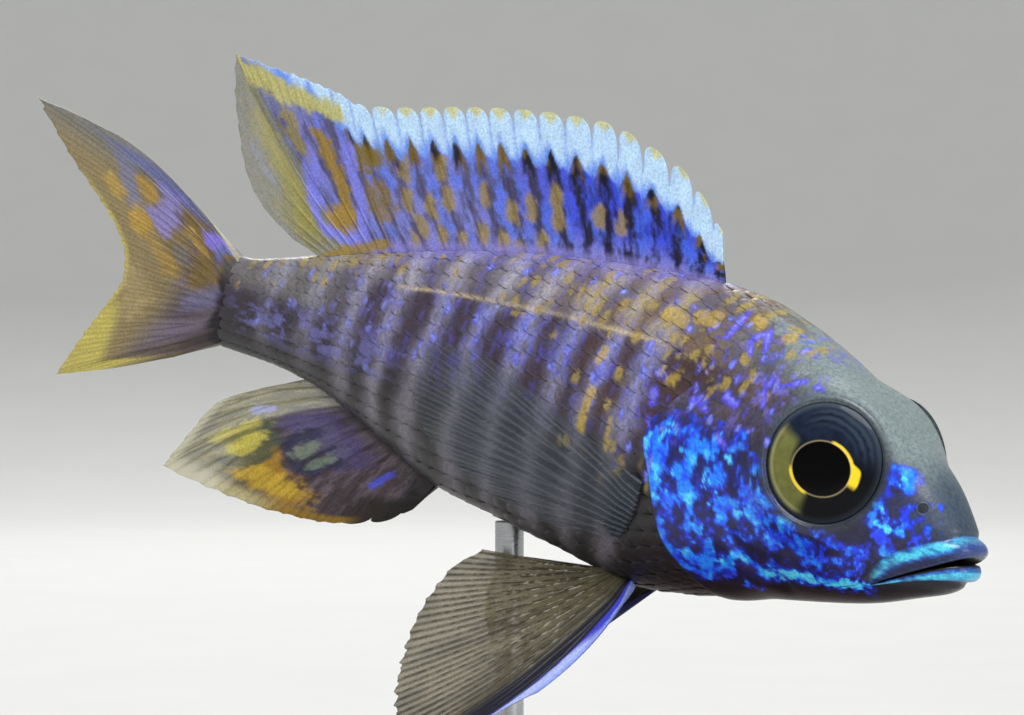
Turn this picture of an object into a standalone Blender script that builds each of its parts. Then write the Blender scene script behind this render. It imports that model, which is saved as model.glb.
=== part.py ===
"""Peacock cichlid: a male as a still, life-size model, held over a flat base by one rod.

The fish is drawn straight first, in millimetres: s runs back from the tip of the snout, y to the
fish's left and z up. place() then bends it along its midline, tips it nose down and lifts it over
the base. The world is in metres, +X the way the fish heads and +Z up.
"""

import math

import bmesh
import bpy
import numpy as np
from mathutils import Vector
from mathutils.bvhtree import BVHTree

MM = 0.001
GAP = 0.3

# Pose: the midline's sideways bend behind the skull, the whole fish's tilt, and its place.
BEND_START = 30.0
BEND_LENGTH = 70.0
BEND_SIDEWAYS = 0.263
BEND_BACK = -0.236
MIDDLE = 50.0
NOSE_DOWN = math.radians(13.76)
ROLL_LEFT = math.radians(-4.11)
ANCHOR = (14.8, 0.9, 49.0)

# Side outline (s, z), half width (s, y) and the height of the widest point (s, z).
SNOUT = 0.9
BACK_LINE = (
    (SNOUT, -1.4), (1.5, -0.1), (3.2, 2.3), (5.2, 4.5), (8.0, 6.5), (11.9, 8.8), (16.0, 10.9),
    (20.7, 13.1), (25.5, 15.0), (30.7, 16.3), (36.1, 16.7), (45.0, 16.1), (54.0, 15.2),
    (67.0, 13.0), (80.0, 9.8), (88.0, 7.6), (93.0, 6.2), (99.0, 5.0), (101.0, 5.0),
)
BELLY_LINE = (
    (SNOUT, -1.4), (1.0, -3.1), (2.3, -5.2), (5.9, -6.9), (11.2, -9.0), (18.0, -10.8),
    (25.3, -12.5), (31.8, -14.1), (38.0, -15.0), (48.9, -14.0), (57.0, -13.2), (65.4, -12.2),
    (72.0, -10.0), (79.0, -7.7), (86.2, -5.9), (92.0, -5.4), (98.0, -5.4), (101.0, -5.5),
)
HALF_WIDTH = (
    (SNOUT, 0.0), (1.5, 2.0), (3.0, 3.0), (5.0, 3.8), (9.0, 5.0), (13.0, 6.2), (17.0, 7.0),
    (22.0, 7.8), (28.0, 8.3), (34.0, 8.4), (42.0, 8.2), (50.0, 7.6), (60.0, 6.5), (70.0, 5.1),
    (80.0, 3.7), (90.0, 2.5), (99.0, 1.7), (101.0, 1.6),
)
WIDEST_AT = ((SNOUT, -1.4), (5.0, -1.2), (10.0, -0.8), (16.0, -0.3), (30.0, -0.5), (50.0, 0.0),
             (70.0, 0.0), (99.0, -0.2), (101.0, -0.2))
UPPER_POWER = ((SNOUT, 2.0), (5.0, 2.1), (9.0, 2.5), (14.0, 2.8), (20.0, 2.7), (28.0, 2.2),
               (40.0, 1.9), (60.0, 1.8), (101.0, 2.0))
LOWER_POWER = ((SNOUT, 2.1), (8.0, 2.1), (20.0, 2.0), (35.0, 2.2), (60.0, 2.0), (101.0, 2.0))

# Rings round the body: columns on one side from the back down to the belly.
SIDE_COLUMNS = 24
CORNER_COLUMN = 17
CORNER_ANGLE = math.radians(-58.0)

# Mouth: the line of the gape from the front to its corner, and the lips beside it.
GAPE_FRONT_Z = -1.35
GAPE_SLOPE = -0.62
GAPE_CORNER = 8.6
GAPE_OPEN = 0.5
GAPE_SHUT = 0.12
LIP_ROWS = (0.0, 0.3, 0.8, 1.4, 2.0, 2.5)
LIP_WIDTH = 2.5
LIP_HEIGHT = 0.6
LIP_GROOVE = 0.2
LIP_AT_CORNER = 0.45
MOUTH_DEPTHS = (2.4, 1.1)
MOUTH_BACK = (8.5, 0.0, -4.76)
FACE_CENTRE = (15.0, 0.0, -2.0)
FACE_ROWS = 9

# Gill cover: the curve of its hind edge as (z, s), where the head meets the torso.
GILL_EDGE = ((-13.6, 25.0), (-12.0, 27.4), (-10.4, 29.4), (-8.4, 31.4), (-5.2, 32.8), (-2.4, 34.0),
             (0.6, 35.4), (2.2, 35.2), (5.0, 33.2), (8.0, 31.4), (11.0, 30.6), (16.5, 30.2))
GILL_NOMINAL = 31.5
GILL_CURVE_END = 52.0
GILL_LIFT = 0.55
GILL_REACH = 7.0
REAR_INSET = 0.97
CHEEK_EDGE = ((2.0, 24.6), (-2.0, 24.8), (-5.5, 24.2), (-8.0, 22.2), (-9.2, 18.6))
CHEEK_GROOVE = 0.3
CHEEK_GROOVE_WIDTH = 0.8
HEAD_STEP = 1.25
TORSO_STEP = 2.5
TORSO_END = 88.8
STALK_END = 99.6
STALK_STEP = 2.1

# Eye: its centre on the right side, radius of the orbit, how far it faces forwards and up, its
# profile as (height, radius), and the socket cut for it.
EYE_CENTRE = (15.7, 6.4, 3.4)
ORBIT_RADIUS = 5.95
EYE_FORWARD = 0.254
EYE_UP = 0.111
EYE_PROFILE = ((-3.2, 0.0), (-2.9, 1.9), (-2.0, 3.9), (-0.9, 5.1), (0.0, 5.6), (0.55, 5.25),
               (1.05, 4.1), (1.4, 2.4), (1.55, 0.0))
SOCKET_DEPTH_ROWS = 5
SOCKET_MOUTH = ((0.6, ORBIT_RADIUS), (6.0, ORBIT_RADIUS + 0.6), (6.0, 0.0))
ORBIT_SEGMENTS = 32
RIM_HEIGHT = 0.35
RIM_OUT = 0.3
RIM_TUBE = 0.45
MOUND_REACH = 3.0
NOSTRIL = (5.7, 3.55, 1.8)
NOSTRIL_RADIUS = 0.75
NOSTRIL_TUBE = 0.28
NOSTRIL_SEGMENTS = 10
NOSTRIL_PIT = ((-0.7, 0.0), (-0.6, 0.3), (0.0, 0.48), (1.5, 0.7), (1.5, 0.0))

# Fins: half thickness of a ray at its root end and of the web, and how far off the body they start.
RAY_HALF = 0.5
WEB_HALF = 0.27
RAY_TAPER = 0.55
WEB_TAPER = 0.15
FIN_CLEARANCE = 0.4
FIN_ROOT_HALF = 0.7
FIN_ROOT_REACH = 2.5

# Median fins: how many spines and soft rays, and the roots along the body.
DORSAL_SPINES = 16
DORSAL_RAYS = 10
DORSAL_ROWS = 8
DORSAL_BOW = -0.04
DORSAL_NOTCH = 0.13
DORSAL_ROOTS = ((0, 36.7), (15, 76.0), (16, 78.2), (25, 87.9))
DORSAL_TIPS = (
    (0, 38.2, 21.5), (1, 41.4, 24.3), (2, 44.7, 26.5), (3, 48.6, 27.8), (5, 55.6, 29.2),
    (7, 62.6, 28.8), (9, 69.2, 27.9), (11, 75.2, 26.8), (13, 81.4, 25.5), (15, 88.0, 24.6),
    (16, 90.8, 25.3), (18, 98.2, 26.1), (20, 107.5, 26.7), (21, 106.3, 22.6), (22, 104.4, 18.6),
    (23, 101.8, 14.2), (24, 98.0, 10.9), (25, 92.6, 8.4),
)
ANAL_SPINES = 3
ANAL_RAYS = 11
ANAL_ROWS = 7
ANAL_BOW = 0.05
ANAL_NOTCH = 0.12
ANAL_ROOTS = ((0, 65.6), (10, 86.0))
ANAL_TIPS = (
    (0, 68.3, -15.6), (1, 71.6, -17.8), (2, 76.2, -19.4), (3, 80.4, -20.4), (4, 85.4, -20.9),
    (5, 90.6, -21.2), (6, 97.2, -21.1), (7, 104.5, -20.6), (8, 101.8, -16.2), (9, 98.4, -11.6),
    (10, 92.4, -8.4),
)
TAIL_RAYS = 16
TAIL_ROWS = 9
TAIL_TIPS = (
    (0, 107.0, 8.8), (1, 118.0, 14.5), (2, 126.0, 16.6), (3, 124.3, 13.0), (4, 122.0, 9.6),
    (5, 119.4, 6.6), (6, 117.2, 3.9), (7, 115.9, 1.4), (8, 115.7, -1.0), (9, 116.6, -3.3),
    (10, 118.4, -5.9), (11, 120.6, -8.9), (12, 123.2, -12.2), (13, 125.9, -15.2),
    (14, 116.5, -12.3), (15, 106.5, -8.4),
)
TAIL_ROOT_TOP = 4.5
TAIL_ROOT_LOW = -4.9
TAIL_ROOT_REACH = 7.0
TAIL_ROOT_SHARE = 0.9
TAIL_ROOT_LEAST = 0.35
TAIL_SWEEP = 7.0
TAIL_TWIST = 7.0 / 15.0
TAIL_SPAN = 30.0

# Paired fins, drawn for the right side.
PELVIC_RAYS = 10
PELVIC_ROWS = 8
PELVIC_NOTCH = 0.06
PELVIC_CLEARANCE = 0.55
PELVIC_ROOTS = ((0, 36.9), (9, 40.9))
PELVIC_ROOT_Y = 2.6
PELVIC_TIPS = {
    "right": ((0, 39.0, -26.4), (1, 46.8, -34.4), (2, 49.8, -34.8), (3, 52.2, -33.2),
              (4, 54.2, -31.0), (5, 55.8, -28.4), (6, 57.2, -25.4), (7, 57.8, -22.3),
              (8, 57.6, -19.3), (9, 55.4, -16.3)),
    "left": ((0, 49.0, -26.0), (1, 56.6, -29.4), (2, 57.8, -28.6), (3, 58.8, -27.4),
             (4, 59.5, -25.9), (5, 59.9, -24.2), (6, 59.9, -22.4), (7, 59.4, -20.6),
             (8, 58.2, -18.8), (9, 55.0, -16.9)),
}
PELVIC_SPLAY = {"right": 0.75, "left": 0.25}
PELVIC_BOW = {"right": -0.09, "left": 0.0}
PELVIC_BOW_FADE = 1.5
PECTORAL_RAYS = 12
PECTORAL_ROWS = 7
PECTORAL_BOW = 0.02
PECTORAL_ROOTS = ((0, 34.6, -3.7), (1, 34.7, -4.8), (4, 35.0, -6.5), (8, 35.9, -8.5),
                  (11, 36.9, -9.9))
PECTORAL_TIPS = (
    (0, 45.4, 0.8), (1, 51.5, 2.9), (2, 56.8, 4.4), (3, 60.9, 4.3), (4, 62.4, 2.1),
    (5, 62.6, -0.3), (6, 61.8, -2.7), (7, 60.0, -5.0), (8, 57.0, -7.0), (9, 52.8, -8.6),
    (10, 48.0, -9.8), (11, 43.0, -10.6),
)
PECTORAL_SPREAD = {"right": 0.16, "left": 0.30}
PECTORAL_ROOT_HALF = 0.6
PECTORAL_ROOT_REACH = 4.0
PECTORAL_RAY_HALF = 0.42
PECTORAL_OUT = 8.9
PECTORAL_FREE = 9.0
PECTORAL_CLEARANCE = 0.55

# Stand: the rod stands on the model's centre line and meets the belly beside it.
BASE_RADIUS = 42.0
BASE_THICK = 8.0
BASE_BEVEL = 1.2
BASE_SEGMENTS = 64
ROD_RADIUS = 1.5
ROD_SEGMENTS = 16
ROD_X = 5.8
ROD_CLEARANCE = 0.35
COLLAR_RADIUS = 4.5
COLLAR_HEIGHT = 4.0
COLLAR_BEVEL = 1.1
COLLAR_SEGMENTS = 24
SHARP_ANGLE = math.radians(40)

# Finish of each sub-part: colour, roughness, metallic.
FINISHES = {
    "skin_head": ((0.05, 0.10, 0.30), 0.35, 0.0),
    "skin_body": ((0.13, 0.11, 0.16), 0.40, 0.0),
    "skin_tail": ((0.12, 0.10, 0.14), 0.40, 0.0),
    "dorsal_membrane": ((0.22, 0.26, 0.60), 0.45, 0.0),
    "tail_membrane": ((0.45, 0.33, 0.08), 0.45, 0.0),
    "anal_membrane": ((0.40, 0.30, 0.10), 0.45, 0.0),
    "paired_membrane": ((0.16, 0.15, 0.11), 0.45, 0.0),
    "eye_glass": ((0.01, 0.01, 0.015), 0.08, 0.0),
    "base_wood": ((0.10, 0.05, 0.03), 0.45, 0.0),
    "rod_steel": ((0.60, 0.60, 0.62), 0.28, 1.0),
}


def clear_scene():
    """Removes every object of the open scene."""
    for thing in list(bpy.data.objects):
        bpy.data.objects.remove(thing, do_unlink=True)


def finish(name):
    """The material of that name, made once."""
    if name in bpy.data.materials:
        return bpy.data.materials[name]
    colour, roughness, metallic = FINISHES[name]
    material = bpy.data.materials.new(name)
    material.use_nodes = True
    shader = material.node_tree.nodes["Principled BSDF"]
    shader.inputs["Base Color"].default_value = (*colour, 1.0)
    shader.inputs["Roughness"].default_value = roughness
    shader.inputs["Metallic"].default_value = metallic
    return material


def smooth_curve(knots, column=1, round_start=False):
    """A monotone cubic through (x, value) knots. A round start leaves the first knot at right angles."""
    table = np.array([[knot[0], knot[column]] for knot in knots], float)
    start = table[0, 0]

    def along(x):
        x = np.asarray(x, float)
        return np.sqrt(np.maximum(x - start, 0.0)) if round_start else x

    at, value = along(table[:, 0]), table[:, 1]
    step = np.diff(at)
    slope = np.diff(value) / step
    tangent = np.zeros(len(at))
    tangent[0], tangent[-1] = slope[0], slope[-1]
    inner = slope[:-1] * slope[1:] > 0
    weight_a, weight_b = 2 * step[1:] + step[:-1], step[1:] + 2 * step[:-1]
    with np.errstate(divide="ignore", invalid="ignore"):
        mean = (weight_a + weight_b) / (weight_a / slope[:-1] + weight_b / slope[1:])
    tangent[1:-1] = np.where(inner, mean, 0.0)

    def value_at(x):
        x = np.clip(along(x), at[0], at[-1])
        k = np.clip(np.searchsorted(at, x, side="right") - 1, 0, len(step) - 1)
        t = (x - at[k]) / step[k]
        rise = t * t * (3 - 2 * t)
        return (value[k] * (1 - rise) + value[k + 1] * rise
                + step[k] * (tangent[k] * t * (1 - t) ** 2 - tangent[k + 1] * t * t * (1 - t)))

    return value_at


back_line = smooth_curve(BACK_LINE, round_start=True)
belly_line = smooth_curve(BELLY_LINE, round_start=True)
half_width = smooth_curve(HALF_WIDTH, round_start=True)
widest_at = smooth_curve(WIDEST_AT)
upper_power = smooth_curve(UPPER_POWER)
lower_power = smooth_curve(LOWER_POWER)
gill_edge = smooth_curve(GILL_EDGE)


def ease(x):
    """0 below 0, 1 above 1, and smooth between."""
    x = np.clip(x, 0.0, 1.0)
    return x * x * (3 - 2 * x)


def flank(s, z):
    """Half width of the body at s and height z."""
    middle = widest_at(s)
    above = z > middle
    reach = np.where(above, back_line(s) - middle, middle - belly_line(s))
    power = np.where(above, upper_power(s), lower_power(s))
    share = np.clip(np.abs(z - middle) / np.maximum(reach, 1e-6), 0.0, 1.0)
    return half_width(s) * (1 - share ** power) ** (1 / power)


def underside(s, y):
    """Height of the belly's surface at s, a distance y off the midline."""
    middle = widest_at(s)
    power = lower_power(s)
    share = np.clip(np.abs(y) / half_width(s), 0.0, 1.0)
    return middle - (middle - belly_line(s)) * (1 - share ** power) ** (1 / power)


def outside(points):
    """Below 0 inside the body's plain outline, above 0 outside it."""
    s, y, z = points[..., 0], points[..., 1], points[..., 2]
    middle = widest_at(s)
    above = z > middle
    reach = np.where(above, back_line(s) - middle, middle - belly_line(s))
    power = np.where(above, upper_power(s), lower_power(s))
    value = ((np.abs(y) / np.maximum(half_width(s), 1e-6)) ** power
             + (np.abs(z - middle) / np.maximum(reach, 1e-6)) ** power - 1)
    return np.where(s <= SNOUT, 1.0, np.minimum(value, 1e3))


def outward(points):
    """Unit normals of the plain outline near these points."""
    step = 0.05
    slopes = []
    for axis in np.eye(3) * step:
        slopes.append(outside(points + axis) - outside(points - axis))
    normal = np.stack(slopes, -1)
    return normal / np.maximum(np.linalg.norm(normal, axis=-1, keepdims=True), 1e-9)


def section(s, angle, side):
    """Points of the plain outline at s and an angle up from the widest point, on the side -1 or 1."""
    middle = widest_at(s)
    above = angle > 0
    reach = np.where(above, back_line(s) - middle, middle - belly_line(s))
    power = np.where(above, upper_power(s), lower_power(s))
    cos, sin = np.clip(np.cos(angle), 0, 1), np.sin(angle)
    y = side * half_width(s) * cos ** (2 / power)
    z = middle + np.sign(sin) * reach * np.abs(sin) ** (2 / power)
    return np.stack([np.broadcast_to(s, y.shape), y, z], -1)


def column_angles():
    """For each column round the body: its angle, its side, and its place on the mouth from 0 to 1."""
    upper = np.linspace(math.pi / 2, CORNER_ANGLE, CORNER_COLUMN + 1)
    lower = np.linspace(CORNER_ANGLE, -math.pi / 2, SIDE_COLUMNS - CORNER_COLUMN + 1)
    down = np.concatenate([upper, lower[1:]])
    mouth = np.concatenate([np.linspace(0, 1, CORNER_COLUMN + 1),
                            np.linspace(1, 0, SIDE_COLUMNS - CORNER_COLUMN + 1)[1:]])
    lip = np.concatenate([np.ones(CORNER_COLUMN), [0], -np.ones(SIDE_COLUMNS - CORNER_COLUMN)])
    angle = np.concatenate([down, down[-2:0:-1]])
    along = np.concatenate([mouth, mouth[-2:0:-1]])
    lips = np.concatenate([lip, lip[-2:0:-1]])
    side = np.concatenate([-np.ones(SIDE_COLUMNS + 1), np.ones(SIDE_COLUMNS - 1)])
    return angle, side, along, lips


def cast_out(centre, direction):
    """Where rays from the centre leave the plain outline, by halving."""
    low, high = np.zeros(direction.shape[:-1]), np.full(direction.shape[:-1], 40.0)
    for _ in range(40):
        half = (low + high) / 2
        inside = outside(centre + direction * half[..., None]) < 0
        low, high = np.where(inside, half, low), np.where(inside, high, half)
    return low


def turn_between(start, end, share):
    """Unit vectors a share of the way round from start to end."""
    angle = np.arccos(np.clip((start * end).sum(-1), -1, 1))
    return (start * (np.sin((1 - share) * angle) / np.sin(angle))[..., None]
            + end * (np.sin(share * angle) / np.sin(angle))[..., None])


def unit(vectors):
    return vectors / np.linalg.norm(vectors, axis=-1, keepdims=True)


def face_rows():
    """Rings from the bottom of the mouth, over the lips and out to the section at the eye."""
    angle, side, along, lips = column_angles()
    centre = np.array(FACE_CENTRE)
    gape_s = SNOUT + 0.02 + (GAPE_CORNER - SNOUT) * along
    gape_z = GAPE_FRONT_Z + GAPE_SLOPE * (gape_s - SNOUT)
    gape = np.stack([gape_s, side * flank(gape_s, gape_z), gape_z], -1)
    opening = GAPE_SHUT + (GAPE_OPEN - GAPE_SHUT) * (1 - along) ** 1.3
    gape[:, 2] += lips * opening
    start = unit(gape - centre)
    end = unit(section(np.full(angle.shape, centre[0]), angle, side) - centre)
    turn = np.arccos(np.clip((start * end).sum(-1), -1, 1))
    first = cast_out(centre, start)
    size = LIP_AT_CORNER + (1 - LIP_AT_CORNER) * (1 - along) ** 0.7
    rows = []
    for depth in MOUTH_DEPTHS:
        rows.append(centre + start * (first - depth)[:, None])
    lip_share = LIP_WIDTH / (first * turn)
    shares = [row / (first * turn) for row in LIP_ROWS]
    shares += [lip_share + (1 - lip_share) * k / FACE_ROWS for k in range(1, FACE_ROWS + 1)]
    for share in shares:
        direction = turn_between(start, end, share)
        reach = cast_out(centre, direction)
        from_gape = share * first * turn
        swell = LIP_HEIGHT * size * np.sin(math.pi * np.clip(from_gape / LIP_WIDTH, 0, 1)) ** 0.8
        crease = LIP_GROOVE * np.exp(-(((from_gape - LIP_WIDTH - 0.2) / 0.5) ** 2))
        rows.append(centre + direction * (reach + swell - crease)[:, None])
    return rows


def edge_pull(s):
    """How far a ring at s follows the curve of the gill cover's edge."""
    return np.where(s < GILL_NOMINAL, ease((s - FACE_CENTRE[0]) / (GILL_NOMINAL - FACE_CENTRE[0])),
                    ease((GILL_CURVE_END - s) / (GILL_CURVE_END - GILL_NOMINAL)))


def body_ring(s, shift=0.0):
    """One ring of the plain outline near s, curved as the gill cover's edge where it is close to it."""
    angle, side, _, _ = column_angles()
    at = np.full(angle.shape, float(s))
    for _ in range(3):
        height = section(at, angle, side)[:, 2]
        at = s + edge_pull(s) * (gill_edge(height) - GILL_NOMINAL) + shift
    return section(at, angle, side)


def raise_gill_cover(points):
    """Lifts the cover towards its hind edge, and sinks the groove at the edge of the cheek."""
    s, z = points[:, 0], points[:, 2]
    behind = gill_edge(z) - s
    low = ease((7.0 - z) / 3.0) * ease((z + 14.5) / 2.5)
    lift = GILL_LIFT * low * ease(1 - behind / GILL_REACH)
    cheek = np.array([(at, height) for height, at in CHEEK_EDGE])
    near = np.full(len(points), 99.0)
    for a, b in zip(cheek[:-1], cheek[1:]):
        offset = np.stack([s, z], -1) - a
        share = np.clip(offset @ (b - a) / ((b - a) @ (b - a)), 0, 1)
        near = np.minimum(near, np.linalg.norm(offset - share[:, None] * (b - a), axis=1))
    groove = CHEEK_GROOVE * np.exp(-((near / CHEEK_GROOVE_WIDTH) ** 2))
    return points + outward(points) * (lift - groove)[:, None]


def eye_frame(side):
    """Centre of the eye, and the unit vectors out of it, forwards and up."""
    centre = np.array([EYE_CENTRE[0], side * EYE_CENTRE[1], EYE_CENTRE[2]])
    out = np.array([-math.sin(EYE_FORWARD) * math.cos(EYE_UP),
                    side * math.cos(EYE_FORWARD) * math.cos(EYE_UP), math.sin(EYE_UP)])
    ahead = np.array([-math.cos(EYE_FORWARD), -side * math.sin(EYE_FORWARD), 0.0])
    up = np.cross(out, ahead) * -side
    return centre, out, ahead, up


def raise_orbits(points):
    """Brings the skin round each eye up to the plane of the eye."""
    for side in (-1, 1):
        centre, out, _, _ = eye_frame(side)
        offset = points - centre
        height = offset @ out
        radius = np.linalg.norm(offset - height[:, None] * out, axis=1)
        weight = ease((ORBIT_RADIUS + MOUND_REACH - radius) / MOUND_REACH) * (np.abs(height) < 5.0)
        points = points + out * (weight * (RIM_HEIGHT - height))[:, None]
    return points


def place(points):
    """World coordinates in metres of points of the straight fish in millimetres."""
    points = np.asarray(points, float)
    s, y, z = points[..., 0], points[..., 1], points[..., 2]
    line = np.linspace(-20.0, 150.0, 1701)
    behind = np.clip(line - BEND_START, 0.0, None) / BEND_LENGTH
    turn = BEND_SIDEWAYS * behind + BEND_BACK * behind ** 2
    step = line[1] - line[0]
    x_line, y_line = (np.concatenate([[0.0], np.cumsum((rate[1:] + rate[:-1]) / 2 * step)])
                      for rate in (-np.cos(turn), -np.sin(turn)))
    x_line -= np.interp(MIDDLE, line, x_line)
    y_line -= np.interp(MIDDLE, line, y_line)
    here = np.interp(s, line, turn)
    bent = np.stack([np.interp(s, line, x_line) - np.sin(here) * y,
                     np.interp(s, line, y_line) + np.cos(here) * y, z], -1)
    cr, sr = math.cos(ROLL_LEFT), math.sin(ROLL_LEFT)
    cp, sp = math.cos(NOSE_DOWN), math.sin(NOSE_DOWN)
    roll = np.array([[1, 0, 0], [0, cr, -sr], [0, sr, cr]])
    pitch = np.array([[cp, 0, sp], [0, 1, 0], [-sp, 0, cp]])
    return (bent @ (pitch @ roll).T + np.array(ANCHOR)) * MM


def make_object(name, points, faces, material, smooth=True):
    """A mesh object from world points and faces, with its normals pointing out."""
    mesh = bpy.data.meshes.new(name)
    mesh.from_pydata([tuple(p) for p in points], [], [tuple(int(i) for i in f) for f in faces])
    shape = bmesh.new()
    shape.from_mesh(mesh)
    bmesh.ops.recalc_face_normals(shape, faces=shape.faces)
    if shape.calc_volume(signed=True) < 0:
        bmesh.ops.reverse_faces(shape, faces=shape.faces)
    shape.to_mesh(mesh)
    shape.free()
    mesh.materials.append(finish(material))
    if smooth:
        mesh.shade_smooth()
    thing = bpy.data.objects.new(name, mesh)
    bpy.context.scene.collection.objects.link(thing)
    return thing


def ring_solid(name, rows, first_cap, last_cap, material):
    """A closed solid through rings of equal length, each end closed by a fan to a centre point."""
    count = len(rows[0])
    points = list(np.concatenate(rows)) + [first_cap, last_cap]
    faces = []
    for k in range(len(rows) - 1):
        for j in range(count):
            a, b = k * count + j, k * count + (j + 1) % count
            c, d = b + count, a + count
            faces += [(a, b, c), (a, c, d)]
    head, tail = len(points) - 2, len(points) - 1
    last = (len(rows) - 1) * count
    for j in range(count):
        faces.append((j, head, (j + 1) % count))
        faces.append((last + j, last + (j + 1) % count, tail))
    return make_object(name, place(np.array(points)), faces, material)


def lathe(profile, frame, segments):
    """Points and faces of a closed shape turned round a frame's axis, from (height, radius) pairs
    that start and end on the axis."""
    centre, out, ahead, up = frame
    points, rings = [], []
    for height, radius in profile:
        if radius == 0.0:
            rings.append([len(points)])
            points.append(centre + out * height)
            continue
        rings.append(list(range(len(points), len(points) + segments)))
        for k in range(segments):
            angle = 2 * math.pi * k / segments
            points.append(centre + out * height
                          + radius * (math.cos(angle) * ahead + math.sin(angle) * up))
    faces = []
    for lower, upper in zip(rings[:-1], rings[1:]):
        for k in range(segments):
            n = (k + 1) % segments
            if len(lower) == 1:
                faces.append((lower[0], upper[k], upper[n]))
            elif len(upper) == 1:
                faces.append((lower[k], lower[n], upper[0]))
            else:
                faces += [(lower[k], lower[n], upper[n]), (lower[k], upper[n], upper[k])]
    return np.array(points), faces


def turned(name, profile, frame, segments, material):
    """A closed solid turned round a frame's axis, placed with the fish."""
    points, faces = lathe(profile, frame, segments)
    return make_object(name, place(points), faces, material)


def ring_round(name, radius, tube, height, frame, segments, material):
    """A closed ring of round section about a frame's axis."""
    centre, out, ahead, up = frame
    sides = 6
    points, faces = [], []
    for k in range(segments):
        angle = 2 * math.pi * k / segments
        spoke = math.cos(angle) * ahead + math.sin(angle) * up
        for j in range(sides):
            turn = 2 * math.pi * j / sides
            points.append(centre + spoke * (radius + tube * math.cos(turn))
                          + out * (height + tube * math.sin(turn)))
    for k in range(segments):
        for j in range(sides):
            a, b = k * sides + j, k * sides + (j + 1) % sides
            c, d = ((k + 1) % segments) * sides + (j + 1) % sides, ((k + 1) % segments) * sides + j
            faces.append((a, b, c, d))
    return make_object(name, place(np.array(points)), faces, material)


def combine(target, others, operation):
    """Joins or cuts the target by the other objects, applies it and removes them."""
    group = bpy.data.collections.new("pieces")
    bpy.context.scene.collection.children.link(group)
    for other in others:
        bpy.context.scene.collection.objects.unlink(other)
        group.objects.link(other)
        other.hide_render = True
        other.display_type = "WIRE"
    modifier = target.modifiers.new("joined", "BOOLEAN")
    modifier.operation = operation
    modifier.operand_type = "COLLECTION"
    modifier.collection = group
    modifier.solver = "EXACT"
    graph = bpy.context.evaluated_depsgraph_get()
    made = bpy.data.meshes.new_from_object(target.evaluated_get(graph))
    target.modifiers.clear()
    target.data = made
    for other in others:
        bpy.data.objects.remove(other, do_unlink=True)
    bpy.data.collections.remove(group)
    keep_largest(target)


def keep_largest(thing):
    """Leaves only the mesh's largest closed surface."""
    shape = bmesh.new()
    shape.from_mesh(thing.data)
    shape.verts.ensure_lookup_table()
    seen, groups = set(), []
    for start in shape.verts:
        if start.index in seen:
            continue
        group, stack = [], [start]
        seen.add(start.index)
        while stack:
            vertex = stack.pop()
            group.append(vertex)
            for edge in vertex.link_edges:
                other = edge.other_vert(vertex)
                if other.index not in seen:
                    seen.add(other.index)
                    stack.append(other)
        groups.append(group)
    groups.sort(key=len)
    for group in groups[:-1]:
        bmesh.ops.delete(shape, geom=group, context="VERTS")
    shape.to_mesh(thing.data)
    shape.free()


def nostril_frame(side):
    """Centre of the nostril on the skin, and the unit vectors out of it."""
    centre = np.array([NOSTRIL[0], side * NOSTRIL[1], NOSTRIL[2]])
    out = outward(centre[None, :])[0]
    ahead = unit(np.cross(out, np.array([0.0, 0.0, 1.0])))
    return centre, out, ahead, np.cross(out, ahead)


def build_head():
    """Head with mouth, lips, gill covers, orbits and nostrils."""
    rows = face_rows()
    count = round((GILL_NOMINAL - FACE_CENTRE[0]) / HEAD_STEP)
    for k in range(1, count + 1):
        ring = body_ring(FACE_CENTRE[0] + (GILL_NOMINAL - FACE_CENTRE[0]) * k / count)
        rows.append(raise_gill_cover(ring))
    rows = [raise_orbits(row) for row in rows]
    inner = body_ring(GILL_NOMINAL)
    inner[:, 1] *= REAR_INSET
    inner[:, 2] *= REAR_INSET
    rows.append(inner)
    behind = np.array([GILL_NOMINAL, 0.0, 0.0])
    head = ring_solid("head", rows, np.array(MOUTH_BACK), behind, "skin_head")
    rims, cuts = [], []
    for side in (-1, 1):
        frame = eye_frame(side)
        rims.append(ring_round("rim", ORBIT_RADIUS + RIM_OUT, RIM_TUBE, RIM_HEIGHT, frame,
                               ORBIT_SEGMENTS, "skin_head"))
        nostril = nostril_frame(side)
        rims.append(ring_round("rim", NOSTRIL_RADIUS, NOSTRIL_TUBE, 0.0, nostril,
                               NOSTRIL_SEGMENTS, "skin_head"))
        bowl = [(height - GAP, radius + GAP if radius else 0.0)
                for height, radius in EYE_PROFILE[:SOCKET_DEPTH_ROWS]]
        bowl += SOCKET_MOUTH
        cuts.append(turned("cut", bowl, frame, ORBIT_SEGMENTS, "skin_head"))
        cuts.append(turned("cut", NOSTRIL_PIT, nostril, NOSTRIL_SEGMENTS, "skin_head"))
    combine(head, rims, "UNION")
    combine(head, cuts, "DIFFERENCE")
    head.data.shade_smooth()
    return head


def build_trunk():
    """Torso and tail stalk, which meet face to face."""
    count = round((TORSO_END - GILL_NOMINAL) / TORSO_STEP)
    rows = [body_ring(GILL_NOMINAL, GAP)]
    for k in range(1, count + 1):
        rows.append(body_ring(GILL_NOMINAL + GAP + (TORSO_END - GILL_NOMINAL - GAP) * k / count))
    torso = ring_solid("torso", rows, np.array([GILL_NOMINAL + GAP, 0.0, 0.0]),
                       np.array([TORSO_END, 0.0, 0.5]), "skin_body")
    start = TORSO_END + GAP
    count = round((STALK_END - start) / STALK_STEP)
    rows = [body_ring(start + (STALK_END - start) * k / count) for k in range(count + 1)]
    ring_solid("tail_stalk", rows, np.array([start, 0.0, 0.5]), np.array([STALK_END, 0.0, -0.2]),
               "skin_tail")
    return torso


def build_eye(name, side):
    """Eye with its clear front, seated in its socket."""
    turned(name, EYE_PROFILE, eye_frame(side), ORBIT_SEGMENTS, "eye_glass")


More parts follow.
